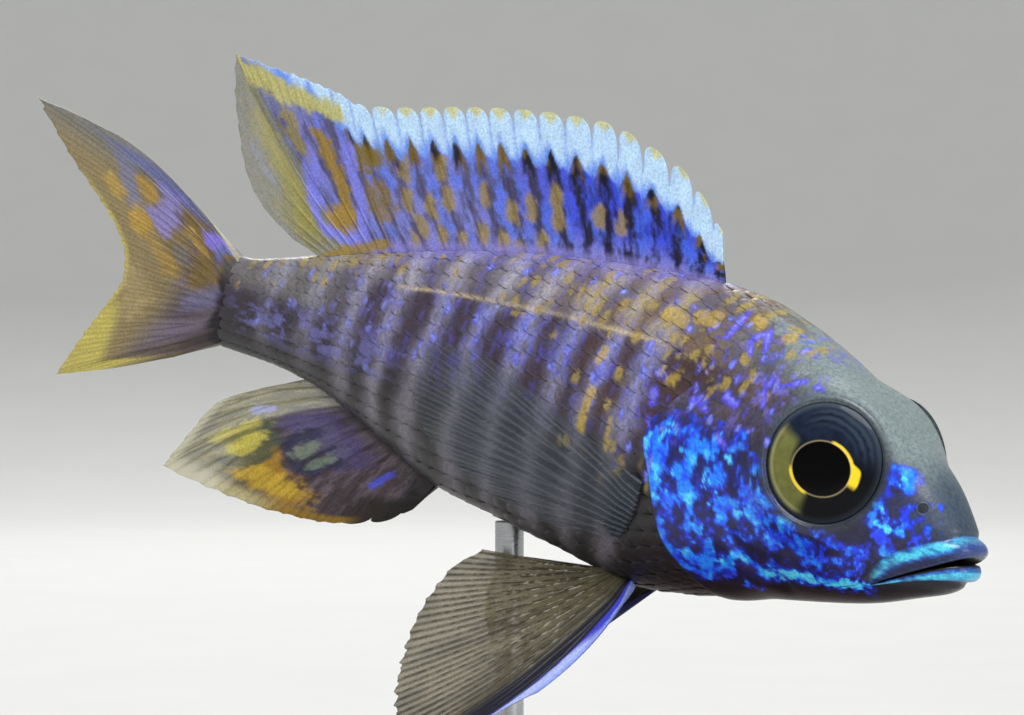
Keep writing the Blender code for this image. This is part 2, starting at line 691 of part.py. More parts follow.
def fin_grid(root, tip, rays, rows, bow, notch, spines):
    """Points (s, z) of a fin from root to tip, with columns on the rays and between them, and the
    share of a ray that each column is."""
    places, crest = [], []
    for k in range(rays):
        places.append(float(k))
        crest.append(1.0)
        if k < rays - 1:
            places += [k + 0.3, k + 0.7]
            crest += [0.0, 0.0]
    places, crest = np.array(places), np.array(crest)
    base = np.stack([f(places) for f in root], -1)
    reach = np.stack([f(places) for f in tip], -1) - base
    cut = np.where((crest == 0) & (places < spines), 1 - notch * (0.6 + 0.8 * (places % 1)), 1.0)
    across = np.stack([-reach[:, 1], reach[:, 0]], -1)
    share = np.linspace(0, 1, rows)[:, None, None]
    arc = bow(places / (rays - 1))[:, None] * 4 * share * (1 - share)
    grid = base + (share * reach + arc * across) * cut[:, None]
    return grid, crest


def inner_bow(amount):
    """A bow for the rays inside a fin that leaves its first and last rays straight."""
    return lambda along: amount * (1 - (2 * along - 1) ** 4)


def fin_solid(name, grid, half, normal, material):
    """A closed sheet about a grid of points, thickened both ways, split alike on both faces."""
    rows, columns, _ = grid.shape
    normal = unit(np.array(normal, float))
    front, back = grid + normal * half[..., None], grid - normal * half[..., None]
    points = np.concatenate([front.reshape(-1, 3), back.reshape(-1, 3)])
    size = rows * columns
    faces = []
    for i in range(rows - 1):
        for j in range(columns - 1):
            a = i * columns + j
            b, c, d = a + 1, a + columns + 1, a + columns
            faces += [(a, b, c), (a, c, d), (a + size, c + size, b + size),
                      (a + size, d + size, c + size)]
    border = [j for j in range(columns)]
    border += [i * columns + columns - 1 for i in range(1, rows)]
    border += [(rows - 1) * columns + j for j in range(columns - 2, -1, -1)]
    border += [i * columns for i in range(rows - 2, 0, -1)]
    for a, b in zip(border, border[1:] + border[:1]):
        faces += [(a, b + size, b), (a, a + size, b + size)]
    return make_object(name, place(points), faces, material)


def fin_thickness(grid, crest, root_half, root_reach, ray_half=RAY_HALF):
    """Half thickness over a fin: thick at its root, then rays that stand out of a thin web."""
    steps = np.linalg.norm(np.diff(grid, axis=0), axis=-1)
    out = np.concatenate([np.zeros((1, grid.shape[1])), np.cumsum(steps, axis=0)])
    share = np.linspace(0, 1, len(grid))[:, None]
    ray = ray_half * (1 - RAY_TAPER * share)
    web = WEB_HALF * (1 - WEB_TAPER * share)
    plain = np.where(crest[None, :] > 0, np.maximum(ray, web), web)
    rooted = ease(1 - out / root_reach)
    return plain * (1 - rooted) + np.maximum(root_half, plain) * rooted


def build_median_fin(name, roots, tips, shape, outline, spines, material):
    """Dorsal or anal fin: spines with free tips, then soft rays drawn out to a point."""
    rays, rows, bow, notch = shape
    at = smooth_curve(roots)
    root = (at, lambda ray: outline(at(ray)) + math.copysign(FIN_CLEARANCE, tips[0][2]))
    tip = (smooth_curve(tips, 1), smooth_curve(tips, 2))
    flat, crest = fin_grid(root, tip, rays, rows, inner_bow(bow), notch, spines - 1)
    grid = np.stack([flat[..., 0], np.zeros(flat.shape[:2]), flat[..., 1]], -1)
    half = fin_thickness(grid, crest, FIN_ROOT_HALF, FIN_ROOT_REACH)
    fin_solid(name, grid, half, (0, 1, 0), material)


def build_tail_fin():
    """Tail fin: swept to the right, more so in its upper lobe."""
    heights = np.linspace(TAIL_ROOT_TOP, TAIL_ROOT_LOW, TAIL_RAYS)
    start = STALK_END + GAP
    root = (lambda ray: np.full(np.shape(ray), start),
            lambda ray: np.interp(ray, range(TAIL_RAYS), heights))
    tip = (smooth_curve(TAIL_TIPS, 1), smooth_curve(TAIL_TIPS, 2))
    flat, crest = fin_grid(root, tip, TAIL_RAYS, TAIL_ROWS, np.zeros_like, 0.0, 0)
    s, z = flat[..., 0], flat[..., 1]
    out = np.clip((s - start) / TAIL_SPAN, 0, None)
    lean = TAIL_SWEEP + TAIL_TWIST * z
    grid = np.stack([s, -(out ** 2) * lean, z], -1)
    stalk = TAIL_ROOT_SHARE * flank(np.full(flat.shape[1], STALK_END), flat[0, :, 1])
    half = fin_thickness(grid, crest, np.maximum(stalk, TAIL_ROOT_LEAST)[None, :], TAIL_ROOT_REACH)
    normal = np.stack([2 * out / TAIL_SPAN * lean, np.ones(s.shape), out ** 2 * TAIL_TWIST], -1)
    fin_solid("tail_fin", grid, half, normal, "tail_membrane")


def build_pelvic_fin(name, side, which):
    """Pelvic fin: one spine and the branched rays behind it, splayed out from the belly."""
    at = smooth_curve(PELVIC_ROOTS)
    root = (at, lambda ray: underside(at(ray), PELVIC_ROOT_Y) - PELVIC_CLEARANCE)
    tip = (smooth_curve(PELVIC_TIPS[which], 1), smooth_curve(PELVIC_TIPS[which], 2))
    flat, crest = fin_grid(root, tip, PELVIC_RAYS, PELVIC_ROWS,
                           lambda along: PELVIC_BOW[which] * (1 - along) ** PELVIC_BOW_FADE,
                           PELVIC_NOTCH, PELVIC_RAYS)
    s, z = flat[..., 0], flat[..., 1]
    y = PELVIC_ROOT_Y - PELVIC_SPLAY[which] * (z - flat[0, :, 1])
    grid = np.stack([s, side * y, z], -1)
    half = fin_thickness(grid, crest, FIN_ROOT_HALF, FIN_ROOT_REACH)
    fin_solid(name, grid, half, (0, side, PELVIC_SPLAY[which]), "paired_membrane")


def build_pectoral_fin(name, side, which):
    """Pectoral fin: held back along the flank from a short fleshy root."""
    root = (smooth_curve(PECTORAL_ROOTS, 1), smooth_curve(PECTORAL_ROOTS, 2))
    tip = (smooth_curve(PECTORAL_TIPS, 1), smooth_curve(PECTORAL_TIPS, 2))
    flat, crest = fin_grid(root, tip, PECTORAL_RAYS, PECTORAL_ROWS, inner_bow(PECTORAL_BOW), 0.0, 0)
    s, z = flat[..., 0], flat[..., 1]
    plain = np.stack([s, np.zeros(s.shape), z], -1)
    half = fin_thickness(plain, crest, PECTORAL_ROOT_HALF, PECTORAL_ROOT_REACH, PECTORAL_RAY_HALF)
    near = flank(s, z) + PECTORAL_CLEARANCE + half
    free = PECTORAL_OUT + PECTORAL_SPREAD[which] * (s - PECTORAL_ROOTS[0][1])
    away = ease(np.linalg.norm(flat - flat[:1], axis=-1) / PECTORAL_FREE)
    y = np.maximum(near, near * (1 - away) + free * away)
    normal = (-PECTORAL_SPREAD[which], side, 0)
    fin_solid(name, np.stack([s, side * y, z], -1), half, normal, "paired_membrane")


def build_stand(torso):
    """A round base, a collar and one rod, cut to the belly's surface at its top."""
    base = ((0.0, 0.0), (0.0, BASE_RADIUS - BASE_BEVEL), (BASE_BEVEL, BASE_RADIUS),
            (BASE_THICK - BASE_BEVEL, BASE_RADIUS), (BASE_THICK, BASE_RADIUS - BASE_BEVEL),
            (BASE_THICK, 0.0))
    stand_piece("stand_base", base, BASE_SEGMENTS, "base_wood")
    low = BASE_THICK + GAP
    high = low + COLLAR_HEIGHT
    collar = ((low, 0.0), (low, COLLAR_RADIUS), (high - COLLAR_BEVEL, COLLAR_RADIUS),
              (high, COLLAR_RADIUS - COLLAR_BEVEL), (high, 0.0))
    stand_piece("stand_collar", collar, COLLAR_SEGMENTS, "rod_steel")
    surface = BVHTree.FromObject(torso, bpy.context.evaluated_depsgraph_get())
    frame = stand_frame()
    points, faces = lathe(((high + GAP, 0.0), (high + GAP, ROD_RADIUS), (BASE_THICK + high, ROD_RADIUS),
                           (BASE_THICK + high, 0.0)), frame, ROD_SEGMENTS)
    for point in points[1 + ROD_SEGMENTS:]:
        point[2] = under_belly(surface, point[0], point[1])
    make_object("stand_rod", points * MM, faces, "rod_steel")


def stand_frame():
    """Foot of the rod, and the unit vectors up along it, forwards and to the left."""
    return np.array([ROD_X, 0.0, 0.0]), np.array([0.0, 0.0, 1.0]), np.array([1.0, 0.0, 0.0]), \
        np.array([0.0, 1.0, 0.0])


def under_belly(surface, x, y):
    """Height just under the torso over a point of the base, in millimetres."""
    hit, _, _, _ = surface.ray_cast(Vector((x * MM, y * MM, 0.0)), Vector((0.0, 0.0, 1.0)))
    return hit.z / MM - ROD_CLEARANCE


def stand_piece(name, profile, segments, material):
    """A turned piece of the stand about the rod's line."""
    points, faces = lathe(profile, stand_frame(), segments)
    thing = make_object(name, points * MM, faces, material)
    thing.data.set_sharp_from_angle(angle=SHARP_ANGLE)


def main():
    clear_scene()
    build_head()
    torso = build_trunk()
    for which, side in (("right", -1), ("left", 1)):
        build_eye("eye_" + which, side)
        build_pectoral_fin("pectoral_fin_" + which, side, which)
        build_pelvic_fin("pelvic_fin_" + which, side, which)
    build_median_fin("dorsal_fin", DORSAL_ROOTS, DORSAL_TIPS,
                     (DORSAL_SPINES + DORSAL_RAYS, DORSAL_ROWS, DORSAL_BOW, DORSAL_NOTCH),
                     back_line, DORSAL_SPINES, "dorsal_membrane")
    build_median_fin("anal_fin", ANAL_ROOTS, ANAL_TIPS,
                     (ANAL_RAYS, ANAL_ROWS, ANAL_BOW, ANAL_NOTCH),
                     belly_line, ANAL_SPINES, "anal_membrane")
    build_tail_fin()
    build_stand(torso)


if __name__ == "__main__":
    main()
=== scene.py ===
"""Looks of the peacock cichlid model: its skin, scales, fins and eyes, its stand and the studio.

The fish is worked out straight first, in millimetres: s runs back from the tip of the snout, y to the
fish's left and z up. Pose.place() bends it along its midline, tips it and lifts it over the base, with
the same named values as the solids have. The world is in metres.
"""

from __future__ import annotations

import logging
import math
from dataclasses import dataclass
from enum import Enum

import bpy
import numpy as np
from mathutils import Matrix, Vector


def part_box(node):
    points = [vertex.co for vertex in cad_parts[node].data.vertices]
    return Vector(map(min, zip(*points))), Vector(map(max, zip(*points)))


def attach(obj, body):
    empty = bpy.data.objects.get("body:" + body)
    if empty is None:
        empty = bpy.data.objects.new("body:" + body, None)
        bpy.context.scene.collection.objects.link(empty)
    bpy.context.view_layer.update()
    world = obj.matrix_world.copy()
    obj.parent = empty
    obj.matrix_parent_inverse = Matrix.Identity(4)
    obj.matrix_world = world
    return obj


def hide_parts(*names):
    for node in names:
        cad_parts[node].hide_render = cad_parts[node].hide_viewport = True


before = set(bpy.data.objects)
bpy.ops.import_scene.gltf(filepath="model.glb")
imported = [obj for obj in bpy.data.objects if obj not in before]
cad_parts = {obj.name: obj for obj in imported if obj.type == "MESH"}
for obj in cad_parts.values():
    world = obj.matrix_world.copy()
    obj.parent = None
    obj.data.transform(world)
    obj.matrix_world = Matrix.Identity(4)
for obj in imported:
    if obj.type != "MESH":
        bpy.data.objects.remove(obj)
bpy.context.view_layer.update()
log = logging.getLogger("cichlid")
MM = 0.001
GAP = 0.3
FAR = 99.0


class Side(Enum):
    """The two sides of the fish, each with the sign of its y."""

    RIGHT = -1
    LEFT = 1

    @property
    def word(self) -> str:
        """The side's name in the names of nodes."""
        return self.name.lower()


def linear(code: str) -> np.ndarray:
    """Turns an sRGB hex colour to linear light.

    Args:
        code: six hex digits after a hash.

    Returns:
        Three linear values.
    """
    part = np.array([int(code[i:i + 2], 16) for i in (1, 3, 5)]) / 255
    return np.where(part <= 0.04045, part / 12.92, ((part + 0.055) / 1.055) ** 2.4)


def ease(x: np.ndarray) -> np.ndarray:
    """0 below 0, 1 above 1, and smooth between."""
    x = np.clip(x, 0.0, 1.0)
    return x * x * (3 - 2 * x)


def band(x: np.ndarray, low: float, high: float, soft: float) -> np.ndarray:
    """1 between low and high, falling to 0 over a soft edge on both sides."""
    return ease((x - low) / soft + 0.5) * ease((high - x) / soft + 0.5)


def mix(under: np.ndarray | str, over: np.ndarray | str, share: np.ndarray) -> np.ndarray:
    """Lays one colour over another.

    Args:
        under: linear colours, or one sRGB hex colour.
        over: the same.
        share: how much of over covers each point, from 0 to 1.

    Returns:
        Linear colours, one a point.
    """
    under, over = (linear(tone) if isinstance(tone, str) else tone for tone in (under, over))
    return under + (over - under) * share[..., None]


def from_line(here: np.ndarray, line: tuple) -> np.ndarray:
    """Measures how far flat points lie from a line.

    Args:
        here: flat points.
        line: the line's knots in order.

    Returns:
        The shortest distance of each point.
    """
    away = np.full(here.shape[:-1], FAR)
    knots = [np.array(knot, float) for knot in line]
    for a, b in zip(knots[:-1], knots[1:]):
        share = np.clip((here - a) @ (b - a) / ((b - a) @ (b - a)), 0, 1)
        away = np.minimum(away, np.linalg.norm(here - a - share[..., None] * (b - a), axis=-1))
    return away


def unit(vectors: np.ndarray) -> np.ndarray:
    """Vectors of length one."""
    return vectors / np.maximum(np.linalg.norm(vectors, axis=-1, keepdims=True), 1e-9)


@dataclass(frozen=True)
class Noise:
    """Smooth random values in space, the same on every run. The large odd numbers stir the bits of
    a cell's place, so that neighbours get unlike values."""

    seed: int = 1
    layer_seed: int = 17
    layer_fade: float = 0.55
    axis_primes: tuple = (374761393, 668265263, 2147483647)
    seed_prime: int = 974634
    salt_prime: int = 7919
    stirs: tuple = ((13, 1274126177), (15, 2246822519))
    last_shift: int = 16
    most: float = 4294967295.0

    def hashed(self, cell: np.ndarray, salt: int = 0) -> np.ndarray:
        """A random number from 0 to 1 for each integer cell.

        Args:
            cell: integer cells, (..., 3).
            salt: picks another set of numbers.

        Returns:
            The numbers.
        """
        n = cell.astype(np.int64).astype(np.uint32)
        mixed = np.uint32(self.seed * self.seed_prime + salt * self.salt_prime)
        for axis, prime in enumerate(self.axis_primes):
            mixed = mixed + n[..., axis] * np.uint32(prime)
        for shift, prime in self.stirs:
            mixed = (mixed ^ (mixed >> np.uint32(shift))) * np.uint32(prime)
        return (mixed ^ (mixed >> np.uint32(self.last_shift))) / self.most

    def smooth(self, points: np.ndarray, size: float) -> np.ndarray:
        """Value noise from 0 to 1 whose features are about as long as size.

        Args:
            points: where to read the noise.
            size: the features' length in millimetres.

        Returns:
            The noise at each point.
        """
        at = points / size
        cell = np.floor(at)
        part = at - cell
        part = part * part * part * (part * (part * 6 - 15) + 10)
        total = np.zeros(points.shape[:-1])
        for dx in (0, 1):
            for dy in (0, 1):
                for dz in (0, 1):
                    weight = (np.abs(1 - dx - part[..., 0]) * np.abs(1 - dy - part[..., 1])
                              * np.abs(1 - dz - part[..., 2]))
                    total += weight * self.hashed(cell + np.array([dx, dy, dz]))
        return total

    def layered(self, points: np.ndarray, size: float, layers: int = 3) -> np.ndarray:
        """Several sizes of noise added, each half as long and half as strong, from 0 to 1.

        Args:
            points: where to read the noise.
            size: length of the largest features.
            layers: how many sizes are added.

        Returns:
            The noise at each point.
        """
        total, weight, most = np.zeros(points.shape[:-1]), 1.0, 0.0
        for layer in range(layers):
            total += weight * Noise(self.seed + layer * self.layer_seed).smooth(points, size / 2 ** layer)
            most += weight
            weight *= self.layer_fade
        return total / most

    def patches(self, points: np.ndarray, size: float) -> tuple[np.ndarray, np.ndarray]:
        """Patches round scattered centres: distance to the nearest centre, and its random number.

        Args:
            points: where to read the noise.
            size: mean distance of the centres.

        Returns:
            The distances in units of size, and the numbers.
        """
        at = points / size
        cell = np.floor(at)
        nearest = np.full(points.shape[:-1], 9.0)
        number = np.zeros(points.shape[:-1])
        for dx in (-1, 0, 1):
            for dy in (-1, 0, 1):
                for dz in (-1, 0, 1):
                    other = cell + np.array([dx, dy, dz])
                    place = np.stack([self.hashed(other, k) for k in (1, 2, 3)], -1)
                    away = np.linalg.norm(other + place - at, axis=-1)
                    closer = away < nearest
                    nearest = np.where(closer, away, nearest)
                    number = np.where(closer, self.hashed(other, 4), number)
        return nearest, number


class Curve:
    """A monotone cubic through knots, the same as the solids are drawn with."""

    def __init__(self, knots: tuple, column: int = 1, round_start: bool = False) -> None:
        """Reads the knots.

        Args:
            knots: tuples that hold x first.
            column: which entry of each knot is the value.
            round_start: whether the curve leaves its first knot at right angles.
        """
        table = np.array([[knot[0], knot[column]] for knot in knots], float)
        self.start = table[0, 0]
        self.round_start = round_start
        self.at, self.value = self.along(table[:, 0]), table[:, 1]
        self.step = np.diff(self.at)
        slope = np.diff(self.value) / self.step
        self.tangent = np.zeros(len(self.at))
        self.tangent[0], self.tangent[-1] = slope[0], slope[-1]
        inner = slope[:-1] * slope[1:] > 0
        ahead, back = 2 * self.step[1:] + self.step[:-1], self.step[1:] + 2 * self.step[:-1]
        with np.errstate(divide="ignore", invalid="ignore"):
            mean = (ahead + back) / (ahead / slope[:-1] + back / slope[1:])
        self.tangent[1:-1] = np.where(inner, mean, 0.0)

    def along(self, x: np.ndarray) -> np.ndarray:
        """The curve's own parameter at x."""
        x = np.asarray(x, float)
        return np.sqrt(np.maximum(x - self.start, 0.0)) if self.round_start else x

    def __call__(self, x: np.ndarray) -> np.ndarray:
        """The value at x.

        Args:
            x: places along the curve.

        Returns:
            The values.
        """
        x = np.clip(self.along(x), self.at[0], self.at[-1])
        k = np.clip(np.searchsorted(self.at, x, side="right") - 1, 0, len(self.step) - 1)
        t = (x - self.at[k]) / self.step[k]
        rise = t * t * (3 - 2 * t)
        return (self.value[k] * (1 - rise) + self.value[k + 1] * rise
                + self.step[k] * (self.tangent[k] * t * (1 - t) ** 2
                                  - self.tangent[k + 1] * t * t * (1 - t)))


@dataclass(frozen=True)
class Pose:
    """How the straight fish is bent, tilted and placed over the base."""

    bend_start: float = 30.0
    bend_length: float = 70.0
    bend_sideways: float = 0.263
    bend_back: float = -0.236
    middle: float = 50.0
    nose_down: float = math.radians(13.76)
    roll_left: float = math.radians(-4.11)
    anchor: tuple = (14.8, 0.9, 49.0)
    line_ends: tuple = (-20.0, 150.0)
    line_points: int = 1701

    def place(self, points: np.ndarray) -> np.ndarray:
        """World coordinates in metres of points of the straight fish in millimetres.

        Args:
            points: points of the straight fish, in millimetres.

        Returns:
            The same points in the world, in metres.
        """
        points = np.asarray(points, float)
        s, y, z = points[..., 0], points[..., 1], points[..., 2]
        line = np.linspace(*self.line_ends, self.line_points)
        behind = np.clip(line - self.bend_start, 0.0, None) / self.bend_length
        turn = self.bend_sideways * behind + self.bend_back * behind ** 2
        step = line[1] - line[0]
        x_line, y_line = (np.concatenate([[0.0], np.cumsum((rate[1:] + rate[:-1]) / 2 * step)])
                          for rate in (-np.cos(turn), -np.sin(turn)))
        x_line -= np.interp(self.middle, line, x_line)
        y_line -= np.interp(self.middle, line, y_line)
        here = np.interp(s, line, turn)
        bent = np.stack([np.interp(s, line, x_line) - np.sin(here) * y,
                         np.interp(s, line, y_line) + np.cos(here) * y, z], -1)
        cr, sr = math.cos(self.roll_left), math.sin(self.roll_left)
        cp, sp = math.cos(self.nose_down), math.sin(self.nose_down)
        roll = np.array([[1, 0, 0], [0, cr, -sr], [0, sr, cr]])
        pitch = np.array([[cp, 0, sp], [0, 1, 0], [-sp, 0, cp]])
        return (bent @ (pitch @ roll).T + np.array(self.anchor)) * MM


POSE = Pose()


@dataclass
class Outline:
    """The plain outline of the body: a rounded section at each s, as in the solids."""

    snout: float = 0.9
    back_knots: tuple = (
        (0.9, -1.4), (1.5, -0.1), (3.2, 2.3), (5.2, 4.5), (8.0, 6.5), (11.9, 8.8), (16.0, 10.9),
        (20.7, 13.1), (25.5, 15.0), (30.7, 16.3), (36.1, 16.7), (45.0, 16.1), (54.0, 15.2),
        (67.0, 13.0), (80.0, 9.8), (88.0, 7.6), (93.0, 6.2), (99.0, 5.0), (101.0, 5.0))
    belly_knots: tuple = (
        (0.9, -1.4), (1.0, -3.1), (2.3, -5.2), (5.9, -6.9), (11.2, -9.0), (18.0, -10.8),
        (25.3, -12.5), (31.8, -14.1), (38.0, -15.0), (48.9, -14.0), (57.0, -13.2), (65.4, -12.2),
        (72.0, -10.0), (79.0, -7.7), (86.2, -5.9), (92.0, -5.4), (98.0, -5.4), (101.0, -5.5))
    width_knots: tuple = (
        (0.9, 0.0), (1.5, 2.0), (3.0, 3.0), (5.0, 3.8), (9.0, 5.0), (13.0, 6.2), (17.0, 7.0),
        (22.0, 7.8), (28.0, 8.3), (34.0, 8.4), (42.0, 8.2), (50.0, 7.6), (60.0, 6.5), (70.0, 5.1),
        (80.0, 3.7), (90.0, 2.5), (99.0, 1.7), (101.0, 1.6))
    widest_knots: tuple = ((0.9, -1.4), (5.0, -1.2), (10.0, -0.8), (16.0, -0.3), (30.0, -0.5),
                           (50.0, 0.0), (70.0, 0.0), (99.0, -0.2), (101.0, -0.2))
    upper_knots: tuple = ((0.9, 2.0), (5.0, 2.1), (9.0, 2.5), (14.0, 2.8), (20.0, 2.7), (28.0, 2.2),
                          (40.0, 1.9), (60.0, 1.8), (101.0, 2.0))
    lower_knots: tuple = ((0.9, 2.1), (8.0, 2.1), (20.0, 2.0), (35.0, 2.2), (60.0, 2.0), (101.0, 2.0))
    gill_knots: tuple = ((-13.6, 25.0), (-12.0, 27.4), (-10.4, 29.4), (-8.4, 31.4), (-5.2, 32.8),
                         (-2.4, 34.0), (0.6, 35.4), (2.2, 35.2), (5.0, 33.2), (8.0, 31.4),
                         (11.0, 30.6), (16.5, 30.2))
    cheek_edge: tuple = ((2.0, 24.6), (-2.0, 24.8), (-5.5, 24.2), (-8.0, 22.2), (-9.2, 18.6))
    gill_nominal: float = 31.5
    gill_curve_end: float = 52.0
    gill_lift: float = 0.5
    gill_reach: float = 7.0
    cheek_groove: float = 0.3
    cheek_groove_width: float = 0.8
    free_from: float = -14.5
    free_to: float = 7.0
    free_ends: tuple = (2.5, 3.0)
    face_centre: tuple = (15.0, 0.0, -2.0)
    stalk_end: float = 99.6
    cast_most: float = 40.0
    halvings: int = 26
    probe: float = 0.05

    def __post_init__(self) -> None:
        """Draws the curves through the knots."""
        self.back = Curve(self.back_knots, round_start=True)
        self.belly = Curve(self.belly_knots, round_start=True)
        self.width = Curve(self.width_knots, round_start=True)
        self.widest = Curve(self.widest_knots)
        self.upper = Curve(self.upper_knots)
        self.lower = Curve(self.lower_knots)
        self.gill = Curve(self.gill_knots)

    def quarter(self, s: np.ndarray, middle: np.ndarray, above: np.ndarray
                ) -> tuple[np.ndarray, np.ndarray]:
        """Reach of the section up to the back or down to the belly, and the power that rounds it."""
        return (np.where(above, self.back(s) - middle, middle - self.belly(s)),
                np.where(above, self.upper(s), self.lower(s)))

    def flank(self, s: np.ndarray, z: np.ndarray) -> np.ndarray:
        """Half width of the body at s and height z.

        Args:
            s: places along the fish, in millimetres back from the snout.
            z: heights, in millimetres.

        Returns:
            The half widths.
        """
        middle = self.widest(s)
        reach, power = self.quarter(s, middle, z > middle)
        share = np.clip(np.abs(z - middle) / np.maximum(reach, 1e-6), 0.0, 1.0)
        return self.width(s) * (1 - share ** power) ** (1 / power)

    def underside(self, s: np.ndarray, y: float) -> np.ndarray:
        """Height of the belly at s, a distance y off the midline.

        Args:
            s: places along the fish, in millimetres back from the snout.
            y: distance off the midline, in millimetres.

        Returns:
            The heights.
        """
        middle = self.widest(s)
        power = self.lower(s)
        share = np.clip(np.abs(y) / self.width(s), 0.0, 1.0)
        return middle - (middle - self.belly(s)) * (1 - share ** power) ** (1 / power)

    def outside(self, points: np.ndarray) -> np.ndarray:
        """Below 0 inside the plain outline, above 0 outside it.

        Args:
            points: points of the straight fish, in millimetres.

        Returns:
            A value for each point.
        """
        s, y, z = points[..., 0], points[..., 1], points[..., 2]
        middle = self.widest(s)
        reach, power = self.quarter(s, middle, z > middle)
        value = ((np.abs(y) / np.maximum(self.width(s), 1e-6)) ** power
                 + (np.abs(z - middle) / np.maximum(reach, 1e-6)) ** power - 1)
        return np.where(s <= self.snout, 1.0, np.minimum(value, 1e3))

    def outward(self, points: np.ndarray) -> np.ndarray:
        """Unit normals of the plain outline near these points.

        Args:
            points: points of the straight fish, in millimetres.

        Returns:
            The normals.
        """
        steps = np.eye(3) * self.probe
        slopes = [self.outside(points + step) - self.outside(points - step) for step in steps]
        return unit(np.stack(slopes, -1))

    def section(self, s: np.ndarray, angle: np.ndarray, side: np.ndarray) -> np.ndarray:
        """Points at s and an angle up from the widest point, on the side -1 or 1.

        Args:
            s: places along the fish, in millimetres back from the snout.
            angle: angles in radians.
            side: -1 or 1 for each point.

        Returns:
            The points.
        """
        middle = self.widest(s)
        reach, power = self.quarter(s, middle, angle > 0)
        cos, sin = np.clip(np.cos(angle), 0, 1), np.sin(angle)
        y = side * self.width(s) * cos ** (2 / power)
        z = middle + np.sign(sin) * reach * np.abs(sin) ** (2 / power)
        return np.stack([np.broadcast_to(s, y.shape), y, z], -1)

    def cast_out(self, centre: np.ndarray, direction: np.ndarray) -> np.ndarray:
        """Where rays from the centre leave the plain outline, by halving.

        Args:
            centre: where the rays start.
            direction: their unit vectors.

        Returns:
            The distances from the centre.
        """
        low, high = np.zeros(direction.shape[:-1]), np.full(direction.shape[:-1], self.cast_most)
        for _ in range(self.halvings):
            half = (low + high) / 2
            inside = self.outside(centre + direction * half[..., None]) < 0
            low, high = np.where(inside, half, low), np.where(inside, high, half)
        return low

    def free_edge(self, z: np.ndarray) -> np.ndarray:
        """1 at heights where the gill cover's edge stands free, falling to 0 above and below."""
        low, high = self.free_ends
        return ease((self.free_to - z) / high) * ease((z - self.free_from) / low)

    def cover_lift(self, points: np.ndarray) -> np.ndarray:
        """How far the gill cover stands proud of the plain outline, less the groove round the cheek.

        Args:
            points: points of the straight fish, in millimetres.

        Returns:
            The heights in millimetres.
        """
        s, z = points[..., 0], points[..., 2]
        behind = self.gill(z) - s
        lift = self.gill_lift * self.free_edge(z) * ease(1 - behind / self.gill_reach)
        near = from_line(np.stack([z, s], -1), self.cheek_edge)
        groove = self.cheek_groove * np.exp(-((near / self.cheek_groove_width) ** 2))
        return np.where(behind < -0.01, 0.0, lift - groove)


BODY = Outline()


@dataclass(frozen=True)
class Orbit:
    """Where the eyes sit: centre, size, and how far they face forwards and up."""

    centre: tuple = (15.7, 6.4, 3.4)
    radius: float = 5.95
    forward: float = 0.254
    up_angle: float = 0.111
    rim_height: float = 0.35
    mound_reach: float = 3.0
    mound_sink: float = 0.08
    depth: float = 5.0
    socket: float = 3.4
    socket_play: float = 0.1
    socket_edge: float = 0.5

    def axes(self, side: Side) -> tuple[np.ndarray, np.ndarray, np.ndarray, np.ndarray]:
        """Centre of the eye, and the unit vectors out of it, forwards and up.

        Args:
            side: the side of the fish.

        Returns:
            The centre, and the three vectors.
        """
        sign = side.value
        centre = np.array([self.centre[0], sign * self.centre[1], self.centre[2]])
        out = np.array([-math.sin(self.forward) * math.cos(self.up_angle),
                        sign * math.cos(self.forward) * math.cos(self.up_angle),
                        math.sin(self.up_angle)])
        ahead = np.array([-math.cos(self.forward), -sign * math.sin(self.forward), 0.0])
        return centre, out, ahead, np.cross(out, ahead) * sign

    def shape_skin(self, points: np.ndarray) -> np.ndarray:
        """Brings the skin up to the plane of each eye, and hollows the socket.

        Args:
            points: points of the straight fish, in millimetres.

        Returns:
            The moved points.
        """
        for side in Side:
            out = self.axes(side)[1]
            height, radius = self.from_axis(points, side)
            near = np.abs(height) < self.depth
            weight = ease((self.radius + self.mound_reach - radius) / self.mound_reach) * near
            points = points + out * (weight * (self.rim_height - self.mound_sink - height))[..., None]
            inside = ease((self.radius + self.socket_play - radius) / self.socket_edge)
            points = points - out * (inside * near * self.socket)[..., None]
        return points

    def from_axis(self, points: np.ndarray, side: Side) -> tuple[np.ndarray, np.ndarray]:
        """Measures where points lie about an eye's axis.

        Args:
            points: on the straight fish.
            side: which eye.

        Returns:
            Heights over the eye's plane, and distances from its axis.
        """
        centre, out, _, _ = self.axes(side)
        offset = points - centre
        height = offset @ out
        return height, np.linalg.norm(offset - height[..., None] * out, axis=-1)


ORBIT = Orbit()


